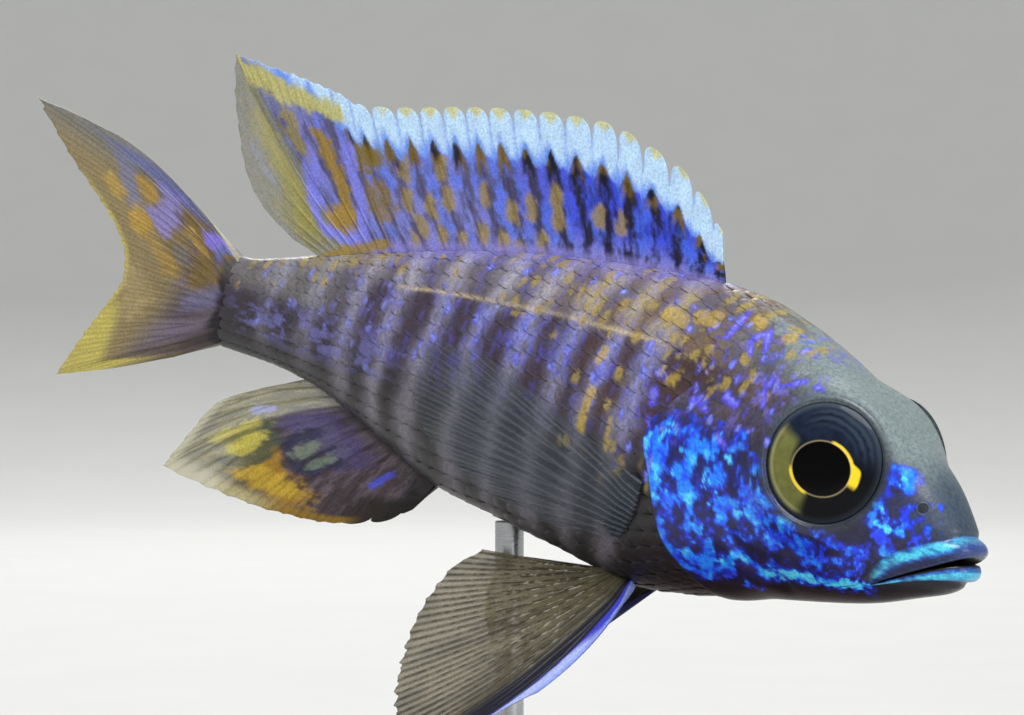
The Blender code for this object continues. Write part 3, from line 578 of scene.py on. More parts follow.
def build_mesh(name: str, points: np.ndarray, quads: np.ndarray, tints: np.ndarray,
               values: dict[str, np.ndarray] | None = None, placed: bool = True,
               triangles: np.ndarray | None = None) -> bpy.types.Object:
    """Makes a smooth mesh object with a colour at each point.

    Args:
        name: the object's name.
        points: millimetres, in the straight fish unless placed is False.
        quads: four point numbers a face.
        tints: linear colours, one a point.
        values: further numbers at each point, by name.
        placed: whether Pose.place() is applied.
        triangles: three point numbers a face, if any.

    Returns:
        The object, linked to the scene.
    """
    world = POSE.place(points) if placed else np.asarray(points) * MM
    mesh = bpy.data.meshes.new(name)
    mesh.vertices.add(len(world))
    mesh.vertices.foreach_set("co", world.astype(np.float32).ravel())
    loops = quads.astype(np.int32).ravel()
    starts = np.arange(len(quads)) * 4
    if triangles is not None and len(triangles):
        starts = np.concatenate([starts, len(loops) + np.arange(len(triangles)) * 3])
        loops = np.concatenate([loops, triangles.astype(np.int32).ravel()])
    mesh.loops.add(len(loops))
    mesh.loops.foreach_set("vertex_index", loops)
    mesh.polygons.add(len(starts))
    mesh.polygons.foreach_set("loop_start", starts.astype(np.int32))
    mesh.update(calc_edges=True)
    mesh.validate()
    colour = mesh.color_attributes.new("tint", "FLOAT_COLOR", "POINT")
    rgba = np.concatenate([np.clip(tints, 0, 1), np.ones((len(world), 1))], axis=1)
    colour.data.foreach_set("color", rgba.astype(np.float32).ravel())
    for key, value in (values or {}).items():
        mesh.attributes.new(key, "FLOAT", "POINT").data.foreach_set("value", value.astype(np.float32))
    mesh.shade_smooth()
    thing = bpy.data.objects.new(name, mesh)
    bpy.context.scene.collection.objects.link(thing)
    return thing


def grid_quads(rows: int, columns: int, closed: bool = False) -> np.ndarray:
    """Faces of a grid of points, joined round its columns if closed.

    Args:
        rows: how many rows of points there are.
        columns: how many points each row has.
        closed: whether the last column joins the first.

    Returns:
        Four point numbers for each face.
    """
    last = columns if closed else columns - 1
    row, column = np.meshgrid(np.arange(rows - 1), np.arange(last), indexing="ij")
    a = row * columns + column
    b = row * columns + (column + 1) % columns
    return np.stack([a, b, b + columns, a + columns], -1).reshape(-1, 4)


def turned(profile: list[tuple[float, float]], segments: int) -> tuple[np.ndarray, np.ndarray]:
    """Turns a profile about the vertical.

    Args:
        profile: pairs of radius and height.
        segments: how many points go round.

    Returns:
        The points and the faces.
    """
    turn = np.linspace(0, 2 * math.pi, segments, endpoint=False)
    rows = [np.stack([r * np.cos(turn), r * np.sin(turn), np.full(turn.shape, h)], -1) for r, h in profile]
    return np.concatenate(rows), grid_quads(len(rows), segments, closed=True)


def dress(thing: bpy.types.Object, material: bpy.types.Material, slot: str, *nodes: str) -> None:
    """Gives a piece its material, and hides the nodes of the frame that it stands for.

    Args:
        thing: the piece.
        material: its finish.
        slot: the slot's name; not used.
        *nodes: names of the nodes.
    """
    thing.data.materials.clear()
    thing.data.materials.append(material)
    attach(thing, "root")
    if nodes:
        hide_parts(*nodes)
    log.info("%s: %d faces", thing.name, len(thing.data.polygons))


def add(tree: bpy.types.NodeTree, kind: str, settings: dict | None = None,
        links: dict | None = None) -> bpy.types.Node:
    """Adds one shader node.

    Args:
        tree: the material's node tree.
        kind: the node's type.
        settings: attributes by name, and socket values by socket name or number.
        links: output sockets by the name or number of the input that takes them.

    Returns:
        The node.
    """
    node = tree.nodes.new(kind)
    for key, value in (settings or {}).items():
        if isinstance(key, int) or key in node.inputs:
            node.inputs[key].default_value = value
        else:
            setattr(node, key, value)
    for key, source in (links or {}).items():
        tree.links.new(source, node.inputs[key])
    return node


def value_of(tree: bpy.types.NodeTree, name: str, output: str = "Fac") -> bpy.types.NodeSocket:
    """The number, or with output "Color" the colour, that a mesh keeps at each point by that name."""
    return add(tree, "ShaderNodeAttribute", {"attribute_name": name}).outputs[output]


def noise(tree: bpy.types.NodeTree, size_mm: float, place: bpy.types.NodeSocket,
          **settings: float) -> bpy.types.NodeSocket:
    """Noise from 0 to 1 in features about size_mm long."""
    node = add(tree, "ShaderNodeTexNoise", {"Scale": 1 / (size_mm * MM), **settings}, {"Vector": place})
    return node.outputs["Fac"]


def ranged(tree: bpy.types.NodeTree, value: bpy.types.NodeSocket, span: tuple,
           start: tuple = (0.0, 1.0)) -> bpy.types.NodeSocket:
    """Turns values over the start range into values over the span."""
    ends = {"From Min": start[0], "From Max": start[1], "To Min": span[0], "To Max": span[1]}
    return add(tree, "ShaderNodeMapRange", ends, {"Value": value}).outputs["Result"]


@dataclass(frozen=True)
class Finish:
    """What all materials share: gloss, clear film, relief, and how a noise shades their colour."""

    name: str = "finish"
    roughness: float = 0.4
    ior: float = 1.5
    film: float = 0.0
    film_roughness: float = 0.2
    relief_mm: float = 0.05
    relief_strength: float = 0.5
    noise_span: tuple = (0.3, 0.7)
    shade_span: tuple = (0.75, 1.25)

    def start(self) -> tuple[bpy.types.Material, bpy.types.NodeTree, bpy.types.Node]:
        """Makes the material with its gloss and film set.

        Returns:
            The material, its node tree and its Principled shader.
        """
        material = bpy.data.materials.new(self.name)
        material.use_nodes = True
        shader = material.node_tree.nodes["Principled BSDF"]
        shader.inputs["Roughness"].default_value = self.roughness
        shader.inputs["IOR"].default_value = self.ior
        if self.film > 0:
            shader.inputs["Coat Weight"].default_value = self.film
            shader.inputs["Coat Roughness"].default_value = self.film_roughness
        return material, material.node_tree, shader

    def place(self, tree: bpy.types.NodeTree) -> bpy.types.NodeSocket:
        """Places on the object, in its own metres."""
        return add(tree, "ShaderNodeTexCoord").outputs["Object"]

    def colour(self, tree: bpy.types.NodeTree, shader: bpy.types.Node, base: bpy.types.NodeSocket | tuple,
               grain: bpy.types.NodeSocket) -> bpy.types.NodeSocket:
        """Colours the shader, darker and lighter by the grain.

        Args:
            tree: the material's node tree.
            shader: the Principled shader.
            base: the colour's socket, or three linear values.
            grain: the noise.

        Returns:
            The socket of the shaded colour.
        """
        scale = ranged(tree, grain, self.shade_span, self.noise_span)
        given = isinstance(base, tuple)
        shade = add(tree, "ShaderNodeVectorMath", {"operation": "SCALE", **({0: base} if given else {})},
                    {"Scale": scale, **({} if given else {0: base})})
        tree.links.new(shade.outputs["Vector"], shader.inputs["Base Color"])
        return shade.outputs["Vector"]

    def emboss(self, tree: bpy.types.NodeTree, shader: bpy.types.Node, height: bpy.types.NodeSocket,
               *sockets: str) -> None:
        """Raises the surface by a height, on the shader's Normal and any further sockets.

        Args:
            tree: the material's node tree.
            shader: the Principled shader.
            height: the height.
            *sockets: further sockets that take the relief.
        """
        settings = {"Strength": self.relief_strength, "Distance": self.relief_mm * MM}
        bump = add(tree, "ShaderNodeBump", settings, {"Height": height})
        for socket in ("Normal", *sockets):
            tree.links.new(bump.outputs["Normal"], shader.inputs[socket])


@dataclass(frozen=True)
class WetSkin(Finish):
    """Fish skin with its mucus: a dark matt dermis under a clear wet film, so it shines softly and
    in small broken lights over its pores."""

    name: str = "moist_fish_skin"
    roughness: float = 0.42
    ior: float = 1.4
    film: float = 0.35
    film_roughness: float = 0.16
    relief_strength: float = 0.55
    noise_span: tuple = (0.35, 0.65)
    shade_span: tuple = (0.72, 1.25)
    bright_roughness: float = 0.26
    pore_mm: float = 0.35
    fold_mm: float = 1.6
    fold_share: float = 0.6

    def make(self) -> bpy.types.Material:
        """Builds the material.

        Returns:
            The material, coloured by the tint and made glossier by the gleam of each point.
        """
        material, tree, shader = self.start()
        place = self.place(tree)
        fine = noise(tree, self.pore_mm, place, Detail=3.0, Roughness=0.6)
        broad = noise(tree, self.fold_mm, place, Detail=2.0)
        both = add(tree, "ShaderNodeMath", {"operation": "MULTIPLY_ADD", 1: self.fold_share},
                   {0: broad, 2: fine})
        self.emboss(tree, shader, both.outputs[0], "Coat Normal")
        self.colour(tree, shader, value_of(tree, "tint", "Color"), fine)
        rough = ranged(tree, value_of(tree, "gleam"), (self.roughness, self.bright_roughness))
        tree.links.new(rough, shader.inputs["Roughness"])
        return material


@dataclass(frozen=True)
class HornScale(Finish):
    """Fish scale: a thin plate of bone and clear horn over silvery pigment, so each one catches the
    light on its own curve and shows fine growth rings."""

    name: str = "horny_fish_scale"
    ior: float = 1.45
    film: float = 0.22
    film_roughness: float = 0.22
    relief_mm: float = 0.012
    grain_mm: float = 0.3
    grain_share: float = 3.0
    ring_mm: float = 0.12

    def make(self) -> bpy.types.Material:
        """Builds the material.

        Returns:
            The material, coloured by the tint and ringed by the ring value of each point.
        """
        material, tree, shader = self.start()
        grain = noise(tree, self.grain_mm, self.place(tree), Detail=2.0)
        turns = add(tree, "ShaderNodeMath", {"operation": "MULTIPLY", 1: 2 * math.pi / self.ring_mm},
                    {0: value_of(tree, "ring")})
        wave = add(tree, "ShaderNodeMath", {"operation": "SINE"}, {0: turns.outputs[0]})
        both = add(tree, "ShaderNodeMath", {"operation": "MULTIPLY_ADD", 1: self.grain_share},
                   {0: grain, 2: wave.outputs[0]})
        self.emboss(tree, shader, both.outputs[0])
        self.colour(tree, shader, value_of(tree, "tint", "Color"), grain)
        return material


@dataclass(frozen=True)
class FinMembrane(Finish):
    """Fin membrane: wet skin a few tenths of a millimetre thick between bony rays, so light passes
    through it where no pigment lies."""

    name: str = "wet_fin_membrane"
    roughness: float = 0.38
    ior: float = 1.38
    film: float = 0.2
    relief_mm: float = 0.03
    shade_span: tuple = (0.78, 1.2)
    grain_mm: float = 0.25
    glow: float = 0.35

    def make(self) -> bpy.types.Material:
        """Builds the material.

        Returns:
            The material, coloured by the tint and cleared by the solid value of each point.
        """
        material, tree, shader = self.start()
        solid = value_of(tree, "solid")
        grain = noise(tree, self.grain_mm, self.place(tree), Detail=3.0)
        self.emboss(tree, shader, grain)
        shade = self.colour(tree, shader, value_of(tree, "tint", "Color"), grain)
        tree.links.new(solid, shader.inputs["Alpha"])
        glow = add(tree, "ShaderNodeBsdfTranslucent", {}, {"Color": shade})
        share = add(tree, "ShaderNodeMath", {"operation": "MULTIPLY", 1: self.glow}, {0: solid})
        through = add(tree, "ShaderNodeMixShader", {},
                      {0: share.outputs["Value"], 1: shader.outputs["BSDF"], 2: glow.outputs["BSDF"]})
        tree.links.new(through.outputs["Shader"], tree.nodes["Material Output"].inputs["Surface"])
        return material


@dataclass(frozen=True)
class EyeGlass(Finish):
    """Fish eye: a clear wet cornea over iris and lens, so it mirrors the lamps sharply over depth."""

    name: str = "clear_wet_cornea"
    roughness: float = 0.25
    ior: float = 1.1
    film: float = 0.35
    film_roughness: float = 0.03
    cornea_ior: float = 1.34

    def make(self) -> bpy.types.Material:
        """Builds the material.

        Returns:
            The material, coloured by the tint of each point.
        """
        material, tree, shader = self.start()
        tree.links.new(value_of(tree, "tint", "Color"), shader.inputs["Base Color"])
        shader.inputs["Coat IOR"].default_value = self.cornea_ior
        return material


@dataclass(frozen=True)
class OiledWalnut(Finish):
    """American walnut, turned and oiled: open pores and long brown grain under a thin satin film."""

    name: str = "oiled_turned_walnut"
    roughness: float = 0.38
    film: float = 0.25
    film_roughness: float = 0.25
    relief_mm: float = 0.06
    relief_strength: float = 0.4
    noise_span: tuple = (0.35, 0.6)
    shade_span: tuple = (0.6, 1.1)
    grain_mm: float = 7.0
    grain_stretch: tuple = (0.12, 1.0, 1.0)
    grain_span: tuple = (0.36, 0.64)
    pore_mm: float = 0.45
    dark: str = "#2E1A10"
    light: str = "#6B4226"

    def make(self) -> bpy.types.Material:
        """Builds the material.

        Returns:
            The material, with its grain along X.
        """
        material, tree, shader = self.start()
        along = add(tree, "ShaderNodeMapping", {"Scale": self.grain_stretch}, {"Vector": self.place(tree)})
        bands = noise(tree, self.grain_mm, along.outputs["Vector"], Detail=5.0, Distortion=0.6)
        pores = noise(tree, self.pore_mm, along.outputs["Vector"], Detail=2.0)
        ramp = add(tree, "ShaderNodeMix", {"data_type": "RGBA"})
        ramp.inputs["A"].default_value = (*linear(self.dark), 1)
        ramp.inputs["B"].default_value = (*linear(self.light), 1)
        tree.links.new(ranged(tree, bands, (0.0, 1.0), self.grain_span), ramp.inputs["Factor"])
        self.colour(tree, shader, ramp.outputs["Result"], pores)
        self.emboss(tree, shader, pores)
        return material


@dataclass(frozen=True)
class BrushedSteel(Finish):
    """Stainless steel, turned and brushed round: fine circular scratches that stretch the lights."""

    name: str = "brushed_stainless_steel"
    relief_mm: float = 0.02
    relief_strength: float = 0.2
    colour_code: str = "#B9BABD"
    gloss_span: tuple = (0.2, 0.38)
    scratch_mm: float = 0.15
    scratch_stretch: tuple = (0.03, 0.03, 1.0)

    def make(self) -> bpy.types.Material:
        """Builds the material.

        Returns:
            The material, with its scratches round the vertical.
        """
        material, tree, shader = self.start()
        level = add(tree, "ShaderNodeMapping", {"Scale": self.scratch_stretch}, {"Vector": self.place(tree)})
        lines = noise(tree, self.scratch_mm, level.outputs["Vector"], Detail=2.0)
        tree.links.new(ranged(tree, lines, self.gloss_span), shader.inputs["Roughness"])
        self.emboss(tree, shader, lines)
        shader.inputs["Base Color"].default_value = (*linear(self.colour_code), 1)
        shader.inputs["Metallic"].default_value = 1.0
        return material


@dataclass(frozen=True)
class PaperSweep(Finish):
    """Matt studio paper, rolled and coated: even and pale, with no shine."""

    name: str = "matt_studio_paper"
    roughness: float = 0.9
    noise_span: tuple = (0.0, 1.0)
    shade_span: tuple = (0.97, 1.03)
    colour_code: str = "#D2D2CF"
    fibre_mm: float = 25.0

    def make(self) -> bpy.types.Material:
        """Builds the material.

        Returns:
            The material.
        """
        material, tree, shader = self.start()
        fibre = noise(tree, self.fibre_mm, self.place(tree), Detail=3.0)
        self.colour(tree, shader, tuple(linear(self.colour_code)), fibre)
        return material


@dataclass
class Markings:
    """Colours of the skin and of the scales on it, as functions of the place on the straight fish."""

    night: str = "#0E0F2C"
    plum: str = "#241F42"
    royal: str = "#1E3CF0"
    azure: str = "#1F86FF"
    cyan: str = "#5ADCFF"
    ochre: str = "#9E8A42"
    nape: str = "#586264"
    head_top_light: str = "#7A8888"
    snout: str = "#3C4C5A"
    mirror_shift: float = 40.0
    eye_ring_out: float = 7.1
    bar_places: tuple = (38.8, 44.0, 49.2, 55.0, 61.3, 67.9, 73.8, 79.6, 85.8, 92.2)
    bar_width: float = 1.35
    lateral_line: tuple = ((38, 9.9), (40, 9.8), (50, 9.5), (60, 8.8), (70, 7.8), (73, 7.3))
    blue_strokes: tuple = (
        (((8.9, 4.5), (8.2, 4.7), (7.6, 3.9), (7.4, 3.2)), 0.55, 0.35),
        (((8.9, 4.2), (9.1, 2.4), (9.5, 0.6), (9.7, -0.8)), 0.42, 0.25),
        (((9.2, -0.6), (8.2, -0.9), (7.0, -0.9)), 0.5, 0.75),
        (((9.0, 0.6), (8.6, -0.4)), 0.4, 0.6),
        (((6.2, 0.2), (5.4, 0.7)), 0.25, 0.0),
        (((7.6, -2.8), (8.4, -3.0)), 0.4, 0.3),
        (((9.8, -3.4), (11.5, -3.9), (13.4, -3.6)), 0.42, 0.1),
        (((10.6, -5.0), (12.8, -5.4)), 0.22, 0.0),
        (((14.8, -4.6), (16.4, -4.4)), 0.5, 0.2),
        (((17.4, -3.0), (18.2, -4.4), (19.4, -5.6)), 0.7, 0.35),
        (((9.6, -6.9), (13.5, -7.5), (17.0, -8.0), (20.4, -8.7)), 0.55, 0.8),
        (((20.6, -8.8), (21.8, -8.2), (23.1, -7.5), (24.3, -8.9), (25.6, -9.9)), 0.5, 0.5),
        (((25.0, -9.6), (26.8, -10.8), (29.2, -10.2), (30.8, -8.8), (31.6, -6.9)), 0.5, 0.3),
        (((34.9, 1.6), (34.7, -0.6), (33.6, -2.4)), 0.45, 0.7),
        (((32.0, 2.3), (32.5, 1.9)), 0.7, 1.0),
        (((30.2, 2.6), (30.3, 2.4)), 0.45, 0.8),
        (((20.2, -3.2), (21.6, -2.2), (21.3, -4.0)), 0.6, 0.4),
        (((23.4, -3.8), (24.8, -3.4), (24.9, -4.8)), 0.5, 0.45),
        (((28.0, -3.0), (29.4, -3.8), (30.8, -4.2)), 0.6, 0.5),
        (((26.2, -5.4), (26.0, -7.6)), 0.3, 0.2),
        (((28.6, -4.8), (28.4, -7.4)), 0.35, 0.2))
    violet_strokes: tuple = (
        (((26.0, 12.0), (26.8, 13.6), (27.8, 12.6), (27.2, 11.2)), 0.3, 0.1),
        (((30.2, 14.4), (30.6, 12.2)), 0.4, 0.1),
        (((23.4, 7.0), (23.9, 8.6), (23.6, 9.6)), 0.35, 0.0),
        (((26.4, 6.4), (27.6, 6.8)), 0.5, 0.1),
        (((29.2, 5.0), (31.2, 5.7)), 0.35, 0.2),
        (((26.2, 2.3), (27.2, 2.9)), 0.4, 0.3),
        (((20.4, 10.2), (22.2, 9.2)), 0.3, 0.0),
        (((17.8, 9.9), (18.8, 10.1)), 0.25, 0.0),
        (((35.9, 4.3), (36.1, 5.1)), 0.6, 0.1),
        (((35.4, 2.0), (35.8, 2.4)), 0.4, 0.1))
    gold_strokes: tuple = (
        (((43.7, 3.4), (43.9, 1.2), (43.8, -0.6)), 0.5, 1.0),
        (((43.8, 7.4), (44.2, 6.4)), 0.5, 0.8),
        (((24.4, 13.5), (24.9, 13.7)), 0.5, 0.6),
        (((28.0, 14.0), (29.0, 14.5)), 0.45, 0.8),
        (((33.0, 13.4), (34.8, 13.2)), 0.8, 0.6),
        (((36.2, 12.2), (38.6, 12.8)), 0.7, 0.4),
        (((34.2, 7.2), (34.8, 6.6)), 0.5, 0.5),
        (((40.4, 1.2), (40.2, -1.8)), 0.25, 0.5))

    def stroke(self, s: np.ndarray, z: np.ndarray, wobble: np.ndarray, strokes: tuple
               ) -> tuple[np.ndarray, np.ndarray]:
        """How deep each point lies in any of the strokes, and how bright that stroke is.

        Args:
            s: distance back from the snout.
            z: height.
            wobble: millimetres that roughen the strokes' edges.
            strokes: (points, half width, brightness) each.

        Returns:
            Millimetres inside the nearest stroke's edge, below 0 outside it, and its brightness.
        """
        depth, bright = np.full(s.shape, -FAR), np.zeros(s.shape)
        here = np.stack([s, z], -1)
        for line, half, level in strokes:
            inside = half + wobble - from_line(here, line)
            bright = np.where(inside > depth, level, bright)
            depth = np.maximum(depth, inside)
        return depth, bright

    def bars(self, s: np.ndarray, z: np.ndarray, points: np.ndarray) -> np.ndarray:
        """1 in the middle of a pale bar and 0 in a dark one.

        Args:
            s: places along the fish, in millimetres back from the snout.
            z: heights, in millimetres.
            points: points of the straight fish, in millimetres.

        Returns:
            How pale each point is.
        """
        drift = (Noise(31).smooth(points, 5.0) - 0.5) * 1.8
        drift = drift + (Noise(33).smooth(points, 1.6) - 0.5) * 1.1
        here = s + 0.08 * z + drift
        pale = np.zeros(s.shape)
        for place in self.bar_places:
            pale = np.maximum(pale, np.exp(-((here - place) / self.bar_width) ** 2))
        return pale

    def skin(self, points: np.ndarray, lip: np.ndarray | None = None) -> tuple[np.ndarray, np.ndarray]:
        """Colours and gleam of points on the skin.

        Args:
            points: on the straight fish, in millimetres.
            lip: millimetres out from the gape, positive on the upper lip and negative on the lower.

        Returns:
            Linear colours, and gleam from 0 to 1.
        """
        s, z = points[..., 0], points[..., 2]
        mirrored = np.stack([s, np.abs(points[..., 1]) + self.mirror_shift, z], -1)
        tint = self.trunk(s, z, mirrored)
        face, gleam = self.face(s, z, mirrored)
        head = ease((BODY.gill(z) - s) / 0.4 + 0.5)
        head = np.where(z > 6, ease((32.0 - s) / 7.0), head)
        tint = mix(tint, face, head)
        gleam = gleam * head
        tint = self.flecked(tint, s, z, mirrored)
        if lip is not None:
            tint, gleam = self.lips(tint, gleam, s, lip, mirrored)
        return tint, gleam

    def trunk(self, s: np.ndarray, z: np.ndarray, points: np.ndarray) -> np.ndarray:
        """Barred colours of the body behind the head.

        Args:
            s: places along the fish, in millimetres back from the snout.
            z: heights, in millimetres.
            points: points of the straight fish, in millimetres.

        Returns:
            The colours.
        """
        mottle = Noise(5).layered(points, 2.2)
        drawn = Noise(7).layered(points * np.array([1.7, 1.0, 0.5]), 0.9)
        pale = self.bars(s, z, points)
        line = Curve(self.lateral_line)(s)
        above = ease((z - line + 1.0 + (drawn - 0.5) * 2) / 1.6)
        low = ease((1.6 - z) / 5.0)
        front = ease((60 - s) / 16)
        dark = mix("#382C3C", "#40291F", front * ease((mottle - 0.30) * 4) * 0.8)
        dark = mix(dark, "#5C5560", above * 0.9)
        dark = mix(dark, "#6B5538", above * front * ease((mottle - 0.36) * 6) * 0.8)
        dark = mix(dark, "#1C171A", low)
        light = mix("#85829A", "#7C86E6", band(s, 38, 66, 10)
                    * ease((z - 2.5) / 3) * ease((drawn - 0.25) * 2.2) * 0.85)
        light = mix(light, "#9C98A4", above)
        light = mix(light, "#A08D55", above * front * ease((drawn - 0.42) * 6) * 0.8)
        light = mix(light, "#726D78", low)
        share = pale * np.clip(0.15 + 1.5 * drawn + 0.25 * low, 0, 1)
        tint = mix(dark, light, np.clip(share, 0, 1))
        violet = ease((drawn - 0.56) * 10) * band(z, -1, 15, 4) * band(s, 36, 84, 8)
        tint = mix(tint, "#5650B4", violet * 0.35)
        tail = ease((s - 76) / 12)
        stalk = mix("#2C242C", "#8C8B88", ease((z - 0.8) / 3.0) * 0.85)
        tint = mix(tint, stalk, tail * (0.35 + 0.4 * mottle))
        streaky = ease((Noise(9).layered(points * np.array([0.6, 1.0, 1.5]), 1.2) - 0.42) * 6)
        tint = mix(tint, "#6C6BAE", band(z, -2.6, 1.4, 2.4) * band(s, 72, 97, 7) * streaky * 0.6)
        top = ease((z - BODY.back(s) + 2.2) / 2.2)
        # Lilac along the top of the back, painted light that lifts the contact shadow under the dorsal fin's
        # root.
        tint = mix(tint, "#8580D0", top * band(s, 36, 80, 8) * 0.6 * ease(drawn * 1.6))
        tint = mix(tint, "#9A8A44", top * band(s, 76, 90, 5) * 0.6 * ease((mottle - 0.3) * 4))
        ridge = np.exp(-(((z - line) / 0.2) ** 2)) * band(s, 38, 74, 2)
        tint = mix(tint, "#C6B48C", ridge * ease(mottle * 1.8) * 0.7)
        slate = band(s, 37, 62, 8) * band(z, -10, 0.5 + 0.06 * (s - 36), 5)
        tint = mix(tint, "#414857", slate * 0.28)
        belly = ease((BODY.belly(s) + 3.2 - z) / 3.2)
        return mix(tint, "#1D1B1F", belly * 0.85)

    def flecked(self, tint: np.ndarray, s: np.ndarray, z: np.ndarray, points: np.ndarray) -> np.ndarray:
        """Adds the violet and ochre flecks of the upper flank, the nape and the gill's edge.

        Args:
            tint: the colours so far.
            s: places along the fish, in millimetres back from the snout.
            z: heights, in millimetres.
            points: points of the straight fish, in millimetres.

        Returns:
            The colours with the flecks.
        """
        flat = np.stack([s, points[..., 1] * 0.35, z / 1.5], -1)
        rough = (Noise(44).layered(points, 0.5) - 0.5) * 0.7
        pale = self.bars(s, z, points)
        near, luck = Noise(45).patches(flat, 1.0)
        depth = 0.50 + rough - near
        chance = 0.75 * band(s, 37, 67, 8) * np.exp(-(((z - 6.0) / 3.2) ** 2)) * (0.25 + 0.75 * pale)
        chance = np.maximum(chance, 0.30 * band(s, 62, 96, 8) * band(z, -2, 9.0, 5.0))
        chance = np.maximum(chance, 0.42 * band(s, 31.5, 40, 2.5) * band(z, -3, 15, 4.0))
        chance = np.maximum(chance, 0.62 * band(s, 21, 33, 3) * band(z, 3.6, 14, 3.0))
        chance = np.maximum(chance, 0.40 * band(s, 36, 78, 6) * ease((z - BODY.back(s) + 3.5) / 2))
        violet = ease(depth * 4.5 + 0.3) * ease((chance - luck) * 12)
        core = ease((depth - 0.14) * 5)
        glow = Noise(46).smooth(points, 1.3)
        colour = mix("#4A42B8", "#8294FF", core * (0.5 + 0.5 * glow))
        rear = ease((s - 64) / 14)
        colour = mix(colour, "#7C80C4", rear * 0.6)
        tint = mix(tint, colour, violet * (0.55 + 0.4 * core) * (1 - 0.35 * rear))
        near, luck = Noise(47).patches(flat, 1.15)
        chance = 0.55 * band(s, 30, 60, 8) * band(z, 8.0, 16.5, 3.0)
        chance = np.maximum(chance, 0.25 * band(s, 58, 98, 8) * ease((z - BODY.back(s) + 5) / 2))
        chance = np.maximum(chance, 0.28 * band(s, 34, 47, 3) * band(z, -5, 9, 3.0))
        chance = np.maximum(chance, 0.34 * band(s, 21, 32, 3) * band(z, 6, 16, 3.0))
        ochre = ease((0.52 + rough - near) * 4 + 0.2) * ease((chance - luck) * 12)
        tint = mix(tint, self.ochre, ochre * 0.75)
        wobble = rough * 0.8
        depth, _ = self.stroke(s, z, wobble, self.violet_strokes)
        tint = mix(tint, "#5148DC", ease(depth / 0.3 + 0.5) * 0.85)
        tint = mix(tint, "#8A90F4", ease((depth - 0.16) / 0.25) * 0.6)
        depth, bright = self.stroke(s, z, wobble, self.gold_strokes)
        return mix(tint, "#B89C3E", ease(depth / 0.3 + 0.5) * (0.4 + 0.4 * bright))

    def face(self, s: np.ndarray, z: np.ndarray, points: np.ndarray) -> tuple[np.ndarray, np.ndarray]:
        """Head colours: grey-green above, indigo below, with grains of bright blue on it.

        Args:
            s: places along the fish, in millimetres back from the snout.
            z: heights, in millimetres.
            points: points of the straight fish, in millimetres.

        Returns:
            The colours, and how strongly each point gleams.
        """
        mottle = Noise(12).layered(points, 1.6)
        fine = Noise(14).layered(points, 0.55)
        grain = Noise(16).layered(points, 0.9, 4)
        base = mix(self.night, self.plum, ease((mottle - 0.35) * 3))
        temple = ease((z - 1.0) / 6.0) * ease((s - 18) / 5)
        warm = mix("#4C465C", "#5E5048", ease((grain - 0.42) * 7))
        base = mix(base, warm, temple * (0.7 + 0.3 * mottle))
        crown = ease((z - 4.5 - 0.20 * (s - 8) + (mottle - 0.5) * 3) / 4.0)
        base = mix(base, self.nape, crown * (0.75 + 0.25 * mottle))
        # Painted light: the head is made lighter just under the line of the back, as lit from above.
        base = mix(base, self.head_top_light, ease((z - BODY.back(s) + 3.6) / 3.2) * band(s, 5, 30, 6))
        base = mix(base, self.snout, ease((9.5 - s) / 5.0) * ease((z + 2) / 3.0) * 0.8)
        base = mix(base, "#5A4632", band(s, 23, 40, 5) * ease((z - 6) / 3)
                   * ease((mottle - 0.42) * 6) * 0.6)
        lilac = band(s, 19, 34, 4) * band(z, 3.5, 14, 4) * ease((grain - 0.56) * 9)
        base = mix(base, "#6A66C8", lilac * 0.6)
        throat = ease((BODY.belly(s) + 2.6 - z) / 2.0)
        base = mix(base, "#141318", throat * 0.9)
        cheek = band(s, 24.0, 34.6, 2.5) * band(z, -5.5, 3.6, 2.4)
        cheek = np.maximum(cheek, 0.72 * band(s, 19.0, 27.0, 2.4) * band(z, -6.5, 1.8, 2.4))
        cheek = np.maximum(cheek, 0.62 * band(s, 21.0, 32.0, 2.4) * band(z, -10.4, -4.5, 2.4))
        cheek = np.maximum(cheek, 0.26 * band(s, 9.0, 21.0, 2.4) * band(z, -7.6, -2.6, 2.0))
        cheek = np.maximum(cheek, 0.16 * band(s, 3.0, 10.0, 2.0) * band(z, -3.0, 3.0, 2.4))
        base = mix(base, "#151B6A", cheek * (1 - throat) * (0.35 + 0.4 * mottle))
        wobble = (fine - 0.5) * 1.3 + (grain - 0.5) * 0.8
        depth, bright = self.stroke(s, z, wobble, self.blue_strokes)
        web = Noise(21).layered(points * np.array([1.1, 1.0, 0.8]), 1.25, 4) + (fine - 0.5) * 0.34
        patch = (web - 0.665 + 0.23 * cheek) * 3.6 - 1.0 * (cheek < 0.12)
        level = np.where(patch > depth, 0.08 + 0.42 * cheek, bright)
        depth = np.maximum(depth, patch)
        shine = np.clip(level + (grain - 0.5) * 1.6 + (fine - 0.5) * 1.0, 0, 1)
        tint = mix(base, "#1A2CB8", ease(depth / 0.5 + 0.8) * 0.8)
        tint = mix(tint, self.royal, ease(depth / 0.3 + 0.15))
        tint = mix(tint, self.azure, ease((depth - 0.06) / 0.3) * ease(shine * 2.0))
        tint = mix(tint, self.cyan, ease((depth - 0.12) / 0.3) * ease((shine - 0.55) * 2.6) * 0.9)
        ring = self.eye_ring(points)
        tint = mix(tint, mix("#2B333E", "#5A666C", ease((z - 4) / 6)), ring * 0.9)
        return tint, np.clip(ease(depth / 0.3) * 0.9 + crown * 0.2, 0, 1)

    def eye_ring(self, points: np.ndarray) -> np.ndarray:
        """1 on the greyish ring of skin close round the eye."""
        _, radius = ORBIT.from_axis(points - np.array([0, self.mirror_shift, 0]), Side.LEFT)
        return ease((self.eye_ring_out - radius) / 1.0)

